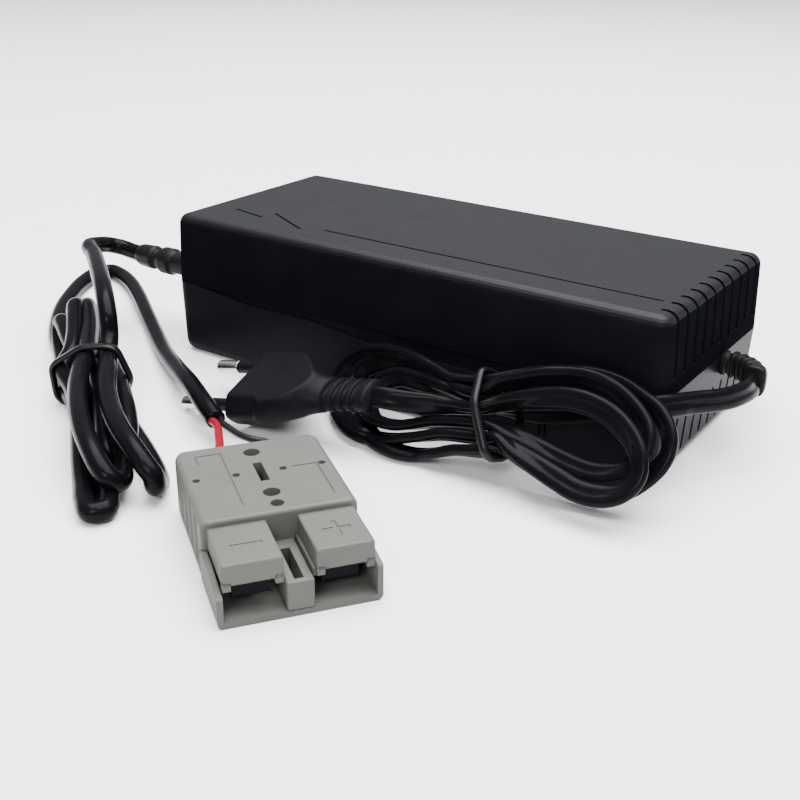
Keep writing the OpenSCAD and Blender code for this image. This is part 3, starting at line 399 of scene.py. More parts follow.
def in_tie(rise, out=2.0):
    """Where a strand passes the mains tie: rise up the slope and out from it."""
    across = np.array([41.5 - 0.42 * rise, 0.0, 0.0])
    return (*(LEAN_MIDDLE + across + rise * LEAN_UP + out * LEAN_OUT), 0)
print("helpers for the routes ready")

# %% the output cord's points
OUTPUT_ROUTE = np.round([
    # out of the relief and forward, over the hank
    (-100, -23, 24), (-110, -23, 24), (-117.4, -23, 24.1), (-120.8, -23.1, 24.4),
    (-123.6, -23.6, 24.9), (-126, -25.2, 25.6), (-127, -28.2, 26.6), (-126.2, -32, 27.6),
    *at_height((90.3, 246, 28.6), (94.2, 255, 29.2), (99.2, 272, 29.6), (102.8, 287, 29.2),
               (105.8, 301.5, 27.4), (108.2, 318, 24), (109.3, 334, 19.6), (108.4, 350, 16.4),
               (107.2, 371.2, 15.6), (107, 388.7, 15), (110.8, 408.2, 14.6), (119.6, 427.6, 14.2),
               (131.6, 446, 13), (144.4, 463.6, 10.8), (153.2, 476, 8.2)),
    # the first return and the far fold
    *in_hank((3, 7.9, 5.4), (8.6, 9.6, 3.2), (16.4, 9.9, 2.9), (28, 9.2, 2.9), (42, 7.8, 2.9),
             (58, 6.4, 3.4), (66, 6.2, 3.9), (75, 6, 3.9), (84, 6.2, 3.7), (96, 6.6, 4),
             (106, 6.8, 5.2), (113.5, 6.8, 8), (118, 6.6, 11.2), (118.4, 6.2, 14), (114, 5.6, 15.8),
             (105, 4.9, 16.2), (95, 4, 16), (84, 2.4, 15.8)),
    # the strand on top
    *at_height((86.8, 353.7, 15.4), (80.3, 371.2, 14.8), (77.4, 390.6, 14.6), (78.6, 410.1, 14.4),
               (83.6, 430.5, 13.6), (91.4, 449.5, 12.2), (100.6, 467.5, 10), (110, 479, 7.8),
               (118.4, 481.6, 6), (122.6, 477.4, 4.9)),
    # the second return and fold, and the strand in front
    *in_hank((17, 1.6, 4.2), (24, 3.6, 4.8), (29, 5, 6), (35, 6.2, 7.4), (43, 7, 8.4),
             (54.6, 7.6, 8.8), (64, 8, 8.8), (73, 7.8, 8.7), (84, 7, 8.7), (95, 6.2, 9),
             (104, 5.2, 10.4), (111.2, 4.2, 12.8), (114, 3, 15.6), (110.6, 1.6, 17.4),
             (102, 0.4, 16.8), (91, -1, 15.2), (81, -3.2, 13.4), (74, -6.4, 11), (63, -5.2, 8.8),
             (49, -5.2, 6.9), (37.5, -6.4, 5.2), (25.4, -7.7, 3.8), (13.7, -8.6, 2.9),
             (5, -9.3, 2.9), (-0.9, -8.5, 2.9), (-1, -5.4, 2.9)),
    # the third return and fold, the inner strand and the way out
    *in_hank((4.6, -3.5, 2.9), (13, -3, 2.9), (27, -3.4, 2.9), (44, -3.8, 2.9), (58, -4.4, 3.4),
             (66, -5.2, 3.9), (75, -6, 3.9), (83, -6, 3.9), (91, -5.6, 4.3), (99.5, -5, 5.2),
             (106.4, -4.6, 7), (111, -4, 10), (110.6, -3.4, 12.4), (104.4, -2.9, 12.8),
             (94, -2.2, 11.6), (84, -0.2, 9.9), (73, 2.4, 9.3), (62, 2.2, 9), (50, 1.2, 8.6),
             (38, 0, 8.2), (28, -0.8, 7.4), (22.6, -0.6, 5.6), (24, 0.4, 3.6), (32, 1, 2.9),
             (44, 0.6, 2.9), (58, 0.2, 3.5), (66, 0.1, 3.9), (75, 0, 3.9), (84, -0.6, 3.6),
             (95, -1.4, 2.9), (105, -2.6, 2.9), (114, -4, 2.9)),
    # the free bend on the floor and back to the connector's wires
    *at_height((57.6, 338, 2.9), (58, 322, 2.9), (62.6, 308, 2.9), (71.6, 294.6, 2.9),
               (82.4, 283, 2.9), (97, 273.6, 2.9), (111.4, 271.2, 2.9), (121.6, 275, 2.9),
               (131.2, 283.2, 2.9), (139.2, 296.2, 2.9), (147.2, 314.6, 2.9), (155, 331.9, 2.9),
               (164.8, 351.3, 3.6), (176, 367, 5.6), (190.4, 383.4, 8), (204, 402.6, 8.4),
               (216, 419.5, 6.8)),
], 1)
print("output route:", len(OUTPUT_ROUTE), "points")

# %% the mains cord's points
# the fourth number of a point is how far the wide side is turned to the front, in degrees
MAINS_ROUTE = np.round([
    # out of the relief, forward and back along the case
    (96.5, -0.3, 21.3, 10), (96.9, -2.8, 21.3, 12), (97.5, -6.5, 21.5, 20), (97.4, -11, 21.9, 30),
    (96, -16.6, 22.1, 40), (93.6, -21.6, 22.4, 45), (91, -25.8, 22.8, 50), (89.1, -29.3, 23.2, 50),
    (87.4, -33, 23.7, 55), (85, -36.6, 24, 60), (81.2, -38.9, 23.7, 65), (74.7, -39.4, 22, 65),
    (68.2, -39.6, 19.2, 60), (61, -40.2, 16.8, 50), (52.2, -43, 15.4, 30), in_tie(1.6, -3),
    # first left fold
    *on_slope(LEFT_PIECE, (1120, 545, 0, 20), (950, 490, -1, 40), (800, 445, -2, 50),
              (680, 420, -3, 50), (580, 440, -4, 50), (500, 490, -5, 50), (440, 560, -5.5, 40),
              (400, 640, -5.5, 40), (395, 720, -5, 40), (430, 790, -4, 30), (520, 830, -2, 20),
              (650, 850, -0.5, 20), (800, 840, 0.5, 10), (1000, 822, 1.5, 0)), in_tie(-4.6),
    # first right fold
    *on_slope(RIGHT_PIECE, (380, 560, 2, 20), (480, 605, 2, 50), (600, 665, 1.5, 70),
              (720, 735, 1, 80), (850, 797, 1, 80), (960, 830, 1, 80), (1080, 828, 1, 70),
              (1180, 790, 1, 60), (1240, 725, 1, 50), (1262, 650, 1, 40), (1250, 570, 1, 50),
              (1200, 490, 1, 60), (1120, 400, 1, 70), (1030, 335, 1, 70), (920, 290, 1.5, 60),
              (800, 272, 1.5, 50), (680, 272, 2, 45), (540, 288, 2, 30), (420, 305, 2, 15)),
    in_tie(3.4, 2.2),
    # second left fold
    *on_slope(LEFT_PIECE, (1100, 500, -0.5, 20), (950, 440, -2, 40), (800, 370, -3.5, 50),
              (650, 310, -5, 50), (520, 290, -6.5, 50), (420, 310, -7.5, 50), (340, 360, -8.5, 50),
              (290, 440, -9, 50), (270, 540, -9, 50), (275, 640, -9, 50), (300, 760, -8.5, 50),
              (360, 880, -7.5, 50), (450, 980, -6, 50), (580, 1060, -4, 40), (720, 1100, -2.5, 40),
              (860, 1110, -1, 30), (1000, 1098, 0.5, 20), (1150, 1075, 1.5, 10)), in_tie(-11.3),
    # second right fold, the one behind
    *on_slope(RIGHT_PIECE, (430, 690, 1, 20), (560, 760, 0, 40), (700, 850, -1, 50),
              (820, 920, -2, 60), (950, 960, -2.5, 60), (1080, 950, -2.5, 60),
              (1180, 910, -2.5, 60), (1270, 850, -2.5, 60), (1340, 785, -2.5, 50),
              (1382, 715, -2.5, 40), (1393, 640, -2.5, 40), (1375, 560, -2.5, 40),
              (1320, 480, -2.5, 50), (1230, 405, -2.5, 50), (1100, 325, -2.5, 60),
              (950, 275, -2.5, 50), (800, 262, -2, 40), (660, 265, -1, 40), (520, 280, 0, 30),
              (400, 292, 1, 10)), in_tie(6.7, 1),
    # third left fold
    *on_slope(LEFT_PIECE, (1150, 455, 1, 20), (1000, 385, 0, 40), (850, 305, -1, 50),
              (700, 240, -2.5, 50), (560, 205, -4, 50), (430, 205, -5.5, 50), (330, 240, -7, 50),
              (240, 300, -8.5, 50), (170, 390, -9.5, 50), (130, 480, -10, 50), (112, 580, -10, 50),
              (120, 680, -9.5, 50), (150, 780, -8.5, 50), (220, 865, -7, 50), (330, 930, -5, 50),
              (450, 965, -3, 40), (600, 975, -1, 30), (750, 965, 0.5, 20), (900, 948, 1.5, 10),
              (1050, 935, 2, 0)), in_tie(-8),
    # third right fold, the one in front
    *on_slope(RIGHT_PIECE, (400, 620, 3.5, 20), (500, 700, 4.5, 50), (620, 785, 5, 70),
              (740, 865, 5.5, 80), (850, 930, 5.5, 80), (960, 963, 5.5, 80), (1070, 958, 5.5, 70),
              (1150, 920, 5.5, 60), (1200, 850, 5.5, 60), (1215, 760, 5.5, 50),
              (1195, 680, 5.5, 50), (1150, 600, 5.5, 60), (1080, 522, 5.5, 70),
              (1000, 465, 5.5, 70), (900, 420, 5.5, 70), (780, 397, 5, 70), (660, 397, 4.5, 60),
              (540, 408, 4, 40), (420, 425, 3, 20)), in_tie(-0.9, 4),
    # out to the plug's neck
    *on_slope(LEFT_PIECE, (1100, 678, 3.5, 20), (900, 655, 6, 50)),
    (22.8, -60, 17.3, 62), (18.6, -62, 17.7, 75), (14.2, -62.8, 17.6, 85), (9, -62.8, 16.5, 90),
], 1)
print("mains route:", len(MAINS_ROUTE), "points")

# %% [markdown]
# ## The two cords
# The output cord is round. The mains cord is flat with two lobes, so its route also says how far its
# wide side is turned. Both stand for the CAD's plain tubes and closed hanks. Where strands are crowded
# they reach into each other, by up to 3.2 mm, and some folds are tighter than a real cord bends.
# %% the output cord, a round one
output_path = smooth(OUTPUT_ROUTE)
output_wide = carried(output_path, np.array([0.0, 0.0, 1.0]))
output_cord = tube("output_cord", output_path, output_wide, round_section(2.8), CORD)
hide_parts("dc_cord_in", "dc_coil", "dc_cord_out")
print("output cord", round(length_of(output_path)), "mm")

# %% the mains cord, a flat one
mains_curve = smooth(MAINS_ROUTE)
mains_path = mains_curve[:, :3]
face_turn = np.radians(mains_curve[:, 3])[:, None]
along = headings(mains_path)
out_dir = LEAN_OUT - along * (along @ LEAN_OUT)[:, None]
out_dir /= np.linalg.norm(out_dir, axis=1)[:, None]
in_plane = np.cross(along, out_dir)
mains_wide = np.cos(face_turn) * out_dir + np.sin(face_turn) * in_plane
mains_cord = tube("mains_cord", mains_path, mains_wide, twin_section(6.0, 3.2), CORD)
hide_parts("ac_cord_in", "ac_coil", "ac_cord_out")
print("mains cord", round(length_of(mains_path)), "mm")

# %% [markdown]
# ## The wires
# Two thin wires come out of the jacket side by side and go into the connector's two entries. They are
# drawn like the cords, from just inside the jacket to deep in the connector.
# %% the two wires into the connector
CON_PLACE = np.array([35.32, -147.47, 0.0])
CON_TURN = math.radians(54.12)
CON_X = np.array([math.cos(CON_TURN), math.sin(CON_TURN), 0.0])
CON_Y = np.array([-math.sin(CON_TURN), math.cos(CON_TURN), 0.0])

def in_connector(u, v, w):
    return CON_PLACE + u * CON_X + v * CON_Y + np.array([0.0, 0.0, w])

ENTRY_HIGH, WIRE_APART, START_INSIDE = 8.1, 1.3, 5
ENTRY_STEPS = (57, 53.5, 48, 42)
jacket_end = output_path[-1]
jacket_dir = headings(output_path)[-1]
jacket_side = np.cross(jacket_dir, (0, 0, 1.0))
jacket_side /= -np.linalg.norm(jacket_side)
for name, node, side_sign, points, u, radius, finish in (
        ("red_lead", "red_wire", -1,
         [(-24.6, -84, 7), (-21.6, -86.1, 7.4), (-16.4, -91.1, 8), (-11.5, -96.1, 8.3), (-8.4, -100.9, 8.3)],
         8.25, 1.15, RED),
        ("black_lead", "black_wire", 1,
         [(-23, -82.7, 7.1), (-18.1, -85.1, 7.6), (-12.8, -87.1, 8), (-8.4, -87.4, 8.1), (-3.6, -86.4, 8.1),
          (0.8, -87.5, 8.1)], 28.25, 0.95, BLACK)):
    start = jacket_end + side_sign * WIRE_APART * jacket_side
    inner = [tuple(in_connector(u, v, ENTRY_HIGH)) for v in ENTRY_STEPS]
    route = [tuple(start - START_INSIDE * jacket_dir), tuple(start), *points, *inner]
    path = smooth(route, step=0.6)
    wire = tube(name, path, carried(path, UP), round_section(radius, sides=16), finish)
    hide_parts(node)
    print(name, round(length_of(path)), "mm")

# %% [markdown]
# ## The output cord's relief
# A soft sleeve is moulded on the cord where it leaves the case: a ring at the wall, a block, a short
# neck and a second block. Its outline is turned round the cord's axis with small rounded corners.
# %% the sleeve at the case
END_X, DC_Y, SEAM_Z = -84.8, -23.0, 24.0
# each corner is (distance out from the case's end, radius)
PROFILE = [(-4.8, 0.0), (-4.8, 5.2), (-2.6, 5.2), (-2.6, 3.35), (0.1, 3.35), (0.1, 4.9), (2.0, 4.9),
           (2.2, 3.9), (13.2, 3.75), (14.0, 4.1), (14.4, 4.6), (18.6, 4.6), (19.5, 4.2), (20.1, 3.0),
           (22.0, 3.0), (22.6, 3.8), (23.4, 4.15), (29.0, 3.8), (30.2, 3.5), (30.8, 2.95), (30.9, 0.0)]

def turned(name, profile, finish, cut=0.35, sides=64):
    """P(i, k) = (x_i, r_i cos a_k, r_i sin a_k); each corner of the outline is cut by a small arc."""
    p = np.array(profile, float)
    line = [p[0]]
    for before, here, after in zip(p[:-2], p[1:-1], p[2:]):
        u, v = before - here, after - here
        reach = min(cut, np.linalg.norm(u) / 2.2, np.linalg.norm(v) / 2.2)
        s = np.linspace(0, 1, 6)[:, None]
        start, end = here + u / np.linalg.norm(u) * reach, here + v / np.linalg.norm(v) * reach
        line += list((1 - s) ** 2 * start + 2 * s * (1 - s) * here + s ** 2 * end)
    line = np.array(line + [p[-1]])
    a = np.linspace(0, 2 * math.pi, sides, endpoint=False)
    x, r = line[1:-1, 0], line[1:-1, 1]
    y, z = DC_Y + r[:, None] * np.cos(a), SEAM_Z + r[:, None] * np.sin(a)
    rings = np.stack([END_X - x[:, None] + 0 * a, y, z], -1)
    return dressed(name, rings.reshape(-1, 3) * MM, ring_faces(*rings.shape[:2]), finish)

output_relief = turned("output_relief", PROFILE, RUBBER)
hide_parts("dc_strain_relief")
print("output relief:", len(output_relief.data.polygons), "faces")

# %% [markdown]
# ## The mains cord's relief
# It is a soft sleeve that turns the flat cord to the front, with a row of segments that let it bend and
# a collar at its end. The section is a rounded box that grows and shrinks along the bend.
# %% the curved sleeve
# the straight stretch ends 2.4 mm out from the wall, then the sleeve bends to the front
AC_EXIT, BEND, STRAIGHT = np.array([84.8, 7.5, 21.3]), 9.4, 2.4
SEGMENT_LONG, FOOT_LONG, END_SOFT = BEND * math.radians(82) / 6, 1.6, 0.8
run = np.r_[np.linspace(-4.8, STRAIGHT, 40), STRAIGHT + np.linspace(0.06, BEND * math.radians(88), 170)]
turn_by = np.clip(run - STRAIGHT, 0, None) / BEND
relief_path = AC_EXIT + np.stack([np.where(run < STRAIGHT, run, STRAIGHT + BEND * np.sin(turn_by)),
                                  -BEND * (1 - np.cos(turn_by)), 0 * run], 1)
segment = (run - STRAIGHT) / SEGMENT_LONG
between = 0.5 - 0.5 * np.tanh(7 * (np.abs(segment % 1 - 0.5) - 0.34))
rib = np.where((segment > 0) & (segment < 5), between, 0)
collar = 0.5 + 0.5 * np.tanh(5 * (segment - 5.02))
foot = (run > 0) * (run < FOOT_LONG)
end_round = np.sqrt(np.clip(1 - np.clip((run - run[-1] + END_SOFT) / END_SOFT, 0, 1) ** 2, 0, 1))
drawn = 0.86 + 0.14 * end_round
flange = np.where(run < -2.6, 1.2, 0.0)
tall = (3.05 + 0.55 * foot + 0.7 * rib + 1.35 * collar) * drawn + flange
thick = (3.0 - 1.0 * np.clip(segment / 0.3, 0, 1) + 0.5 * foot + 0.85 * rib + 1.2 * collar) * drawn + flange
a = np.linspace(0, 2 * math.pi, 72, endpoint=False)
box_of = np.where(run > STRAIGHT, 2 / 3.2, 1.0)[:, None]
round_box = np.stack([tall[:, None] * np.sign(np.cos(a)) * np.abs(np.cos(a)) ** box_of,
                      thick[:, None] * np.sign(np.sin(a)) * np.abs(np.sin(a)) ** box_of], -1)
mains_relief = tube("mains_relief", relief_path, np.tile(UP, (len(run), 1)), round_box, RUBBER)
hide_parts("ac_strain_relief")
print("mains relief: box", np.ptp(relief_path, axis=0).round(1).tolist(), "mm")

# %% [markdown]
# ## Ties
# A tie is pulled tight round the strands, so its line is the outline that touches them from outside.
# The cords' own section points in the tie's plane give that outline.
# %% the bands round both hanks
def band_line(piece, sides, place, normal, e1, reach, out, count=180):
    """For each direction m in the plane: the farthest section point (largest q . m), moved by out m."""
    rings = np.empty(3 * len(piece.data.vertices))
    piece.data.vertices.foreach_get("co", rings)
    rings = rings.reshape(-1, sides, 3) / MM
    d = (rings - place) @ normal
    i, k = np.nonzero(d[:-1] * d[1:] < 0)
    share = (d[i, k] / (d[i, k] - d[i + 1, k]))[:, None]
    hits = rings[i, k] + (rings[i + 1, k] - rings[i, k]) * share
    hits = hits[np.linalg.norm(hits - place, axis=1) < reach]
    a = np.linspace(0, 2 * math.pi, 1440, endpoint=False)
    m = np.cos(a)[:, None] * e1 + np.sin(a)[:, None] * np.cross(e1, normal)
    line = hits[np.argmax(m @ hits.T, axis=1)] + m * out
    line = np.vstack([line, line[:1]])
    run = np.r_[0, np.cumsum(np.linalg.norm(np.diff(line, axis=0), axis=1))]
    even = np.linspace(0, run[-1], count, endpoint=False)
    line = np.stack([np.interp(even, run, line[:, k]) for k in range(3)], 1)
    for _ in range(8):
        line = (np.roll(line, 1, 0) + 2 * line + np.roll(line, -1, 0)) / 4
    outward = np.cross(np.roll(line, -1, 0) - np.roll(line, 1, 0), normal)
    outward /= np.linalg.norm(outward, axis=1)[:, None]
    outward *= np.sign(np.sum(outward * (line - line.mean(0)), axis=1).mean())
    return line, outward

def band(name, line, outward, normal, wide, thick, power, finish):
    """P(i, k) = line_i + x_k N + y_k O_i, with the section x = w/2 |cos a|^p, y = t/2 |sin a|^p."""
    a = np.linspace(0, 2 * math.pi, 24, endpoint=False)
    x = wide / 2 * np.sign(np.cos(a)) * np.abs(np.cos(a)) ** power
    y = thick / 2 * np.sign(np.sin(a)) * np.abs(np.sin(a)) ** power
    rings = line[:, None] + x[None, :, None] * normal + y[None, :, None] * outward[:, None]
    m, n = rings.shape[:2]
    i, k = np.meshgrid(np.arange(m), np.arange(n), indexing="ij")
    i2, k2 = (i + 1) % m, (k + 1) % n
    faces = np.stack([i * n + k, i2 * n + k, i2 * n + k2, i * n + k2], -1).reshape(-1, 4).tolist()
    return dressed(name, rings.reshape(-1, 3) * MM, faces, finish)

# %% the two ties
REACH = 24
band_turn = np.array([-0.524, 0.85, 0.06])
band_turn /= np.linalg.norm(band_turn)
band_side = np.cross(band_turn, UP) / np.linalg.norm(np.cross(band_turn, UP))
tie_place = np.array([-72.6, -85.1, 9.0])
line, outward = band_line(output_cord, 20, tie_place, band_turn, band_side, REACH, out=0.8)
output_tie = band("output_tie", line, outward, band_turn, wide=2.8, thick=1.5, power=0.7, finish=TIE)
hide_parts("dc_tie")
print("output tie: lowest", round(float(line[:, 2].min()), 1), "mm")

mains_turn = np.array([0.842, -0.031, 0.538])
mains_turn /= np.linalg.norm(mains_turn)
mains_side = np.cross(mains_turn, LEAN_OUT) / np.linalg.norm(np.cross(mains_turn, LEAN_OUT))
tie_place = np.array([44.48, -51.0, 17.2])
line, outward = band_line(mains_cord, 32, tie_place, mains_turn, mains_side, REACH, out=1.1)
mains_tie = band("mains_tie", line, outward, mains_turn, wide=2.6, thick=2.0, power=1.0, finish=TIE)
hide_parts("ac_tie")
print("mains tie: lowest", round(float(line[:, 2].min()), 1), "mm")

# %% [markdown]
# ## The plug
# The plug's soft body is moulded round its pins: a six-sided nose, a hand grip whose top is one flat
# oval, and a ribbed neck. It could be cut from boxes, but the real one has no sharp change of section,
# so each section along the pins' axis is a bulb cut by the nose's six sides.
# %% the plug's sizes
PLUG_PLACE = np.array([-30.66, -63.3, 9.27])
rx, ry, rz = np.radians([-18.2, 12.55, 180.1])
TILT = Matrix.Rotation(rz, 3, "Z") @ Matrix.Rotation(ry, 3, "Y") @ Matrix.Rotation(rx, 3, "X")
PLUG_AXES = np.array(TILT)
# distance back from the pins' root, and there: half the width, the heights, the middle's shift
STATION = [-45.6, -45.0, -36.0, -32.0, -29.5, -27.3, -24.4, -20.5, -16.5, -13.0, -3.3, -2.6]
HALF_WIDE = [5.2, 5.7, 5.9, 6.2, 6.3, 6.7, 8.6, 11.1, 13.8, 15.6, 15.6, 15.0]
TOP = [3.2, 3.6, 3.6, 3.7, 4.4, 5.9, 7.6, 10.0, 10.6, 11.0, 11.0, 10.6]
UNDER = [3.4, 3.8, 3.8, 3.9, 4.1, 4.4, 5.0, 5.8, 6.6, 7.5, 7.5, 7.1]
MIDDLE_Y = [0, 0, 0, 0.3, 1.0, 1.7, 2.3, 2.0, 1.0, 0.2, 0, 0]
MIDDLE_Z = [-1.5, -1.5, -1.5, -1.5, -1.3, -0.9, -0.4, 0, 0, 0, 0, 0]
# each side of the nose: its direction across the plug and its distance from the middle
NOSE_SIDES = [((0, 1), 5.0), ((0, -1), 6.7), ((0.738, 0.675), 11.05), ((-0.738, 0.675), 11.05),
              ((0.894, -0.448), 13.0), ((-0.894, -0.448), 13.0)]
RIBS = [-31.9, -35.1, -38.3, -41.5]
RIB_WIDE, RIB_DEEP, SHARPNESS = 0.75, 1.25, 28
# behind this place the upper sides move out, over this length and by this much
WIDEN_FROM, WIDEN_OVER, WIDEN_BY = -13.2, 2.5, 1.3
print("plug sizes:", len(STATION), "stations")

# %% the plug's body
def eased(x, stations, values):
    """Monotone cubic through the stations: Hermite with harmonic-mean slopes (no overshoot)."""
    s, v = np.array(stations, float), np.array(values, float)
    h, d = np.diff(s), np.diff(v) / np.diff(s)
    m = np.zeros_like(v)
    same = d[:-1] * d[1:] > 0
    w1, w2 = 2 * h[1:] + h[:-1], h[1:] + 2 * h[:-1]
    with np.errstate(divide="ignore", invalid="ignore"):
        m[1:-1] = np.where(same, (w1 + w2) / (w1 / d[:-1] + w2 / d[1:]), 0)
    k = np.clip(np.searchsorted(s, x) - 1, 0, len(h) - 1)
    t = (x - s[k]) / h[k]
    return (v[k] * (1 + 2 * t) * (1 - t) ** 2 + m[k] * h[k] * t * (1 - t) ** 2
            + v[k + 1] * t * t * (3 - 2 * t) + m[k + 1] * h[k] * t * t * (t - 1))

def plug_surface(x, a):
    """r = (1/R^p + sum (n . u / d)^p)^(-1/p): a bulb of radius R(x, a) cut by the nose's six sides."""
    wide, mid_y, mid_z = (eased(x, STATION, v) for v in (HALF_WIDE, MIDDLE_Y, MIDDLE_Z))
    c, s = np.cos(a), np.sin(a)
    tall = np.where(s > 0, eased(x, STATION, TOP), eased(x, STATION, UNDER))
    total = ((c / wide) ** 2 + (s / tall) ** 2) ** (SHARPNESS / 2)
    behind = np.clip((WIDEN_FROM - x) / WIDEN_OVER, 0, 1)
    for (ny, nz), d in NOSE_SIDES:
        d = d + (WIDEN_BY * behind if ny > 0 else 0)
        total = total + (np.maximum(ny * c + nz * s, 0) / (d - ny * mid_y - nz * mid_z)) ** SHARPNESS
    groove = sum(np.exp(-((x - r) / RIB_WIDE) ** 4) for r in RIBS) * RIB_DEEP * np.clip(s + 1.05, 0, 1)
    r = total ** (-1 / SHARPNESS) - groove
    return x, mid_y + r * c, mid_z + r * s

stations = np.unique(np.r_[np.linspace(-45.6, -30, 130), np.linspace(-30, -12, 70),
                           np.linspace(-12, -3.4, 14), np.linspace(-3.4, -2.6, 9)])
angles = np.linspace(0, 2 * math.pi, 240, endpoint=False)
local = np.stack(plug_surface(*np.meshgrid(stations, angles, indexing="ij")), -1)
plug_points = PLUG_PLACE + local.reshape(-1, 3) @ PLUG_AXES.T
plug_housing = dressed("plug_housing", plug_points * MM, ring_faces(*local.shape[:2]), PLUG)
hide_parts("plug_body")
print("plug body:", len(stations), "sections, lowest", round(float(plug_points[:, 2].min()), 2))

# %% [markdown]
# ## The connector's housing
# The housing is moulded with soft edges, finger flutes that end below the top, and two hoods over the
# contacts. One subdivided mesh could give the soft edges, but the holes have to stay true circles. So
# each form is a closed shell of its own, and the holes are then cut as a drill would.
# %% tools for the housing
BLOCK_IN, BLOCK_OUT, BLOCK_FROM, BLOCK_TO, BLOCK_HIGH = 0.3, 36.2, 17.2, 53.5, 16.2

def rounded_box(low, high, r, count=12):
    """P = c + h sgn(n) + r n over the unit sphere: a box with round edges; its poles are capped."""
    low, high = np.array(low, float), np.array(high, float)
    t = (np.arange(count) + 0.5) * math.pi / count
    p = (np.arange(2 * count) + 0.5) * math.pi / count
    t, p = np.meshgrid(t, p, indexing="ij")
    n = np.stack([np.sin(t) * np.cos(p), np.sin(t) * np.sin(p), np.cos(t)], -1)
    return (low + high) / 2 + ((high - low) / 2 - r) * np.sign(n) + r * n

def rod(place, axis, reach, r, count=48):
    """Rings P = c + r (cos a, sin a) at both ends of a straight rod."""
    a = np.linspace(0, 2 * math.pi, count, endpoint=False)
    flat = [k for k in range(3) if k != axis]
    rings = np.zeros((2, count, 3)) + place
    rings[:, :, axis] += np.array([[0.0], [reach]])
    rings[:, :, flat[0]] += r * np.cos(a)
    rings[:, :, flat[1]] += r * np.sin(a)
    return rings

def plain_box(low, high):
    u, w = [low[0], high[0], high[0], low[0]], [low[1], low[1], high[1], high[1]]
    return np.array([[(x, y, z) for x, y in zip(u, w)] for z in (low[2], high[2])], float)

def shell(rings):
    return rings.reshape(-1, 3), ring_faces(*rings.shape[:2])

def joined(parts):
    """Several closed shells, (points, faces) each, as one list of points and one of faces."""
    points, faces, total = [], [], 0
    for part, part_faces in parts:
        faces += [[q + total for q in f] for f in part_faces]
        points.append(part)
        total += len(part)
    return np.vstack(points), faces

def cut(name, rings, tools):
    """Takes the tools' solids out of one shell and gives its new points and faces."""
    piece = new_mesh(name, *shell(rings), False)
    for number, part in enumerate(tools):
        tool = new_mesh(f"tool_{number}", *shell(part), False)
        step = piece.modifiers.new("cut", "BOOLEAN")
        step.operation, step.solver, step.object = "DIFFERENCE", "EXACT", tool
        made = bpy.data.meshes.new_from_object(piece.evaluated_get(bpy.context.evaluated_depsgraph_get()))
        piece.modifiers.clear()
        piece.data = made
        bpy.data.objects.remove(tool)
    points = np.empty(3 * len(piece.data.vertices))
    piece.data.vertices.foreach_get("co", points)
    faces = [list(f.vertices) for f in piece.data.polygons]
    bpy.data.objects.remove(piece)
    return points.reshape(-1, 3), faces
print("tools for the housing ready")

# %% [markdown]
# ## The connector's forms
# The block is a rounded rectangle swept along the connector and drawn in at its ends. It is cut by the
# rivets' holes, the slot, two cells for the contacts and the wires' entries. The web stands between the
# contacts, the hoods cover them from above and the tray is a U-shaped section below.
# %% the block's outline and its holes
FLUTE_R, FLUTE_FIRST, FLUTE_STEP, FLUTE_DEEP = 4.8, 24.2, 6.4, 0.7
def drawn_in(v, back, front):
    """Quarter circles of radius back and front at the block's two ends."""
    a, b = np.clip(v - (BLOCK_TO - back), 0, back), np.clip(BLOCK_FROM + front - v, 0, front)
    return (back - np.sqrt(back ** 2 - a ** 2) + front - np.sqrt(front ** 2 - b ** 2))[:, None]

def flute_at(v, z):
    """Depth of four shallow arcs along v, which fade out above and below."""
    arcs = 0
    for i in range(4):
        bow = np.sqrt(np.clip(FLUTE_R ** 2 - (v - FLUTE_FIRST - FLUTE_STEP * i) ** 2, 0, None))
        arcs = arcs + np.clip(bow - 4.1, 0, FLUTE_DEEP)
    return arcs * np.clip((z - 1.6) / 1.0, 0, 1) * np.clip((14.6 - z) / 1.2, 0, 1)

v = np.unique(np.r_[BLOCK_FROM + 0.9 * (1 - np.cos(np.linspace(0, math.pi / 2, 7))),
                    np.arange(18.5, 50.4, 0.4),
                    50.5 + 3 * np.sin(np.linspace(0, math.pi / 2, 13)[:-1]), 53.48])
r, quarter, up = 1.6, np.linspace(0, math.pi / 2, 9), np.linspace(0, 1, 27)[1:-1]
inset, high = drawn_in(v, 3.0, 0.9), BLOCK_HIGH - drawn_in(v, 1.2, 0.9)
left, right = BLOCK_IN + inset, BLOCK_OUT - inset
one = np.ones_like(left)
u = np.hstack([left + r - r * np.sin(quarter), left * np.ones_like(up), left + r - r * np.cos(quarter),
               right - r + r * np.sin(quarter), right * np.ones_like(up), right - r + r * np.cos(quarter)])
z = np.hstack([one * (r - r * np.cos(quarter)), r + up * (high - 2 * r),
               high - r + r * np.sin(quarter), high - r + r * np.cos(quarter),
               high - r - up * (high - 2 * r), one * (r - r * np.sin(quarter))])
along_v = v[:, None] * np.ones_like(u)
middle = (BLOCK_IN + BLOCK_OUT) / 2
u -= np.sign(u - middle) * flute_at(along_v, z) * (np.abs(u - middle) > 16)
holes = [rod((18.4, 47.2, -1), 2, 20, 2.0), rod((18.4, 26.3, -1), 2, 20, 2.0),
         rod((18.4, 21.0, -1), 2, 20, 1.55), plain_box((17.3, 32.1, -1), (19.4, 41.4, 20)),
         plain_box((1.6, 16, 1.6), (14.8, 31, 9.2)), plain_box((21.4, 16, 1.6), (35.2, 31, 9.2)),
         rod((8.25, 30, 8.1), 1, 25, 4.4), rod((28.25, 30, 8.1), 1, 25, 4.4)]
holes += [rod((x, 36.8, 15.2), 2, 3, 0.9) for x in (3.0, 12.4, 23.7, 33.2)]
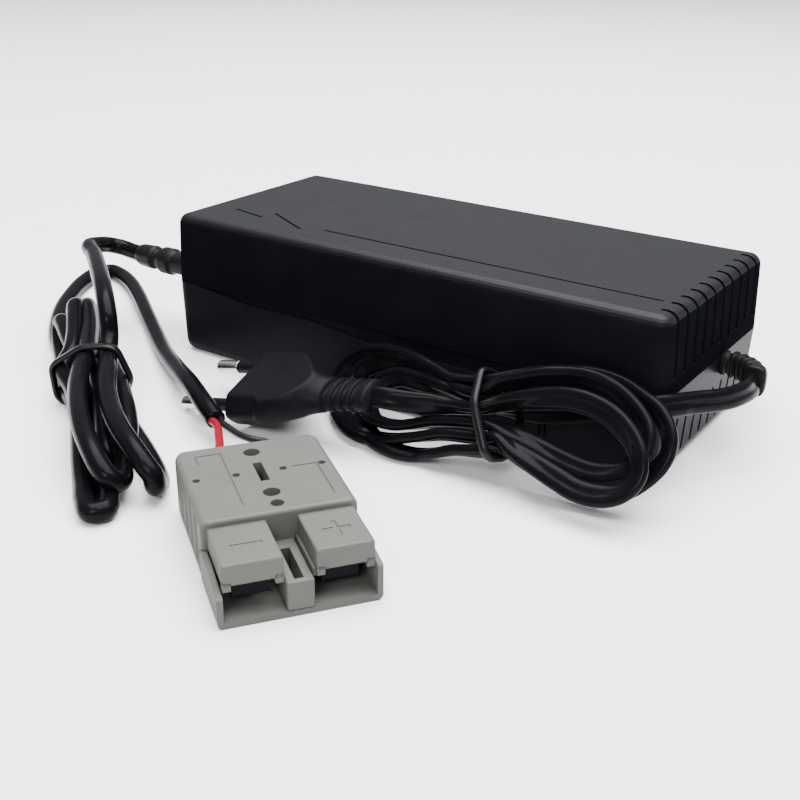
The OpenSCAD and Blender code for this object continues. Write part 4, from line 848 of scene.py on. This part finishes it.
GROOVES = (((4.8, 44.8), (4.8, 48.8)), ((4.8, 48.8), (10.9, 48.8)), ((10.9, 48.8), (10.9, 22.4)),
           ((26.2, 37.1), (31.9, 37.1)), ((31.9, 37.1), (31.9, 21.4)))
GROOVE_HALF, GROOVE_FLOOR = 0.2, 16.0
for (u0, v0), (u1, v1) in GROOVES:
    holes.append(plain_box((min(u0, u1) - GROOVE_HALF, min(v0, v1) - GROOVE_HALF, GROOVE_FLOOR),
                           (max(u0, u1) + GROOVE_HALF, max(v0, v1) + GROOVE_HALF, 18)))
print("block outline:", len(v), "sections,", len(holes), "cuts")

# %% block, web, hoods and tray
bodies = [cut("block", np.stack([u, along_v, z], -1), holes),
          cut("web", rounded_box((15.1, 0.05, 0.5), (21.2, 17.8, 8.6), 0.5),
              [plain_box((17.0, 1.3, 3.0), (19.1, 13.8, 12.0))])]
HOOD_TOP, SIGN_FLOOR = 14.5, 14.3
soft_pieces = []
for low, high_u, signs in ((1.6, 14.9, [((5.0, 8.2), (12.0, 9.3))]),
                           (22.0, 35.2, [((25.4, 8.55), (31.8, 9.65)), ((28.05, 5.9), (29.15, 12.3))])):
    bodies.append(cut("hood", rounded_box((low, 1.5, 9.2), (high_u, 17.8, HOOD_TOP), 0.55),
                      [plain_box((*p, SIGN_FLOOR), (*q, 16.0)) for p, q in signs]))
    soft_pieces += [rounded_box((foot, 1.48, 8.0), (foot + 1.9, 3.4, 10.2), 0.15, 6)
                    for foot in (low + 0.02, high_u - 1.92)]
soft_pieces.append(rounded_box((21.45, 2.5, 7.6), (22.6, 17.8, 9.6), 0.15, 6))
s = np.linspace(0, math.pi / 2, 8)
loop_u = np.r_[0.0, 1.5 - 1.5 * np.cos(s), 35.0 + 1.5 * np.sin(s), 36.5, 35.2, 35.2, 1.4, 1.4]
loop_z = np.r_[0.0, 1.5 - 1.5 * np.sin(s), 1.5 - 1.5 * np.cos(s), 0.0, 0.0, 1.6, 1.6, 0.0]
# the tray's four sections along the connector, and how high its left and right walls are at each
TRAY_AT, LEFT_WALL, RIGHT_WALL = (0.0, 0.5, 11.2, 18.2), (7.3, 7.7, 9.2, 9.2), (8.7, 9.1, 10.2, 10.2)
count = len(loop_u)
tray = np.stack([np.tile(loop_u, (4, 1)), np.repeat(TRAY_AT, count).reshape(4, count),
                 np.tile(loop_z, (4, 1))], -1)
tray[:, [0, -1], 2] = np.array(LEFT_WALL)[:, None]
tray[:, [17, 18], 2] = np.array(RIGHT_WALL)[:, None]
p, faces = joined(bodies + [shell(part) for part in [*soft_pieces, tray]])
p = CON_PLACE + p[:, :1] * CON_X + p[:, 1:2] * CON_Y + p[:, 2:] * UP
connector_body = dressed("connector_body", p * MM, faces, GREY, False)
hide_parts("connector_housing")
print("connector body:", len(faces), "faces, top at", round(float(p[:, 2].max()), 2))
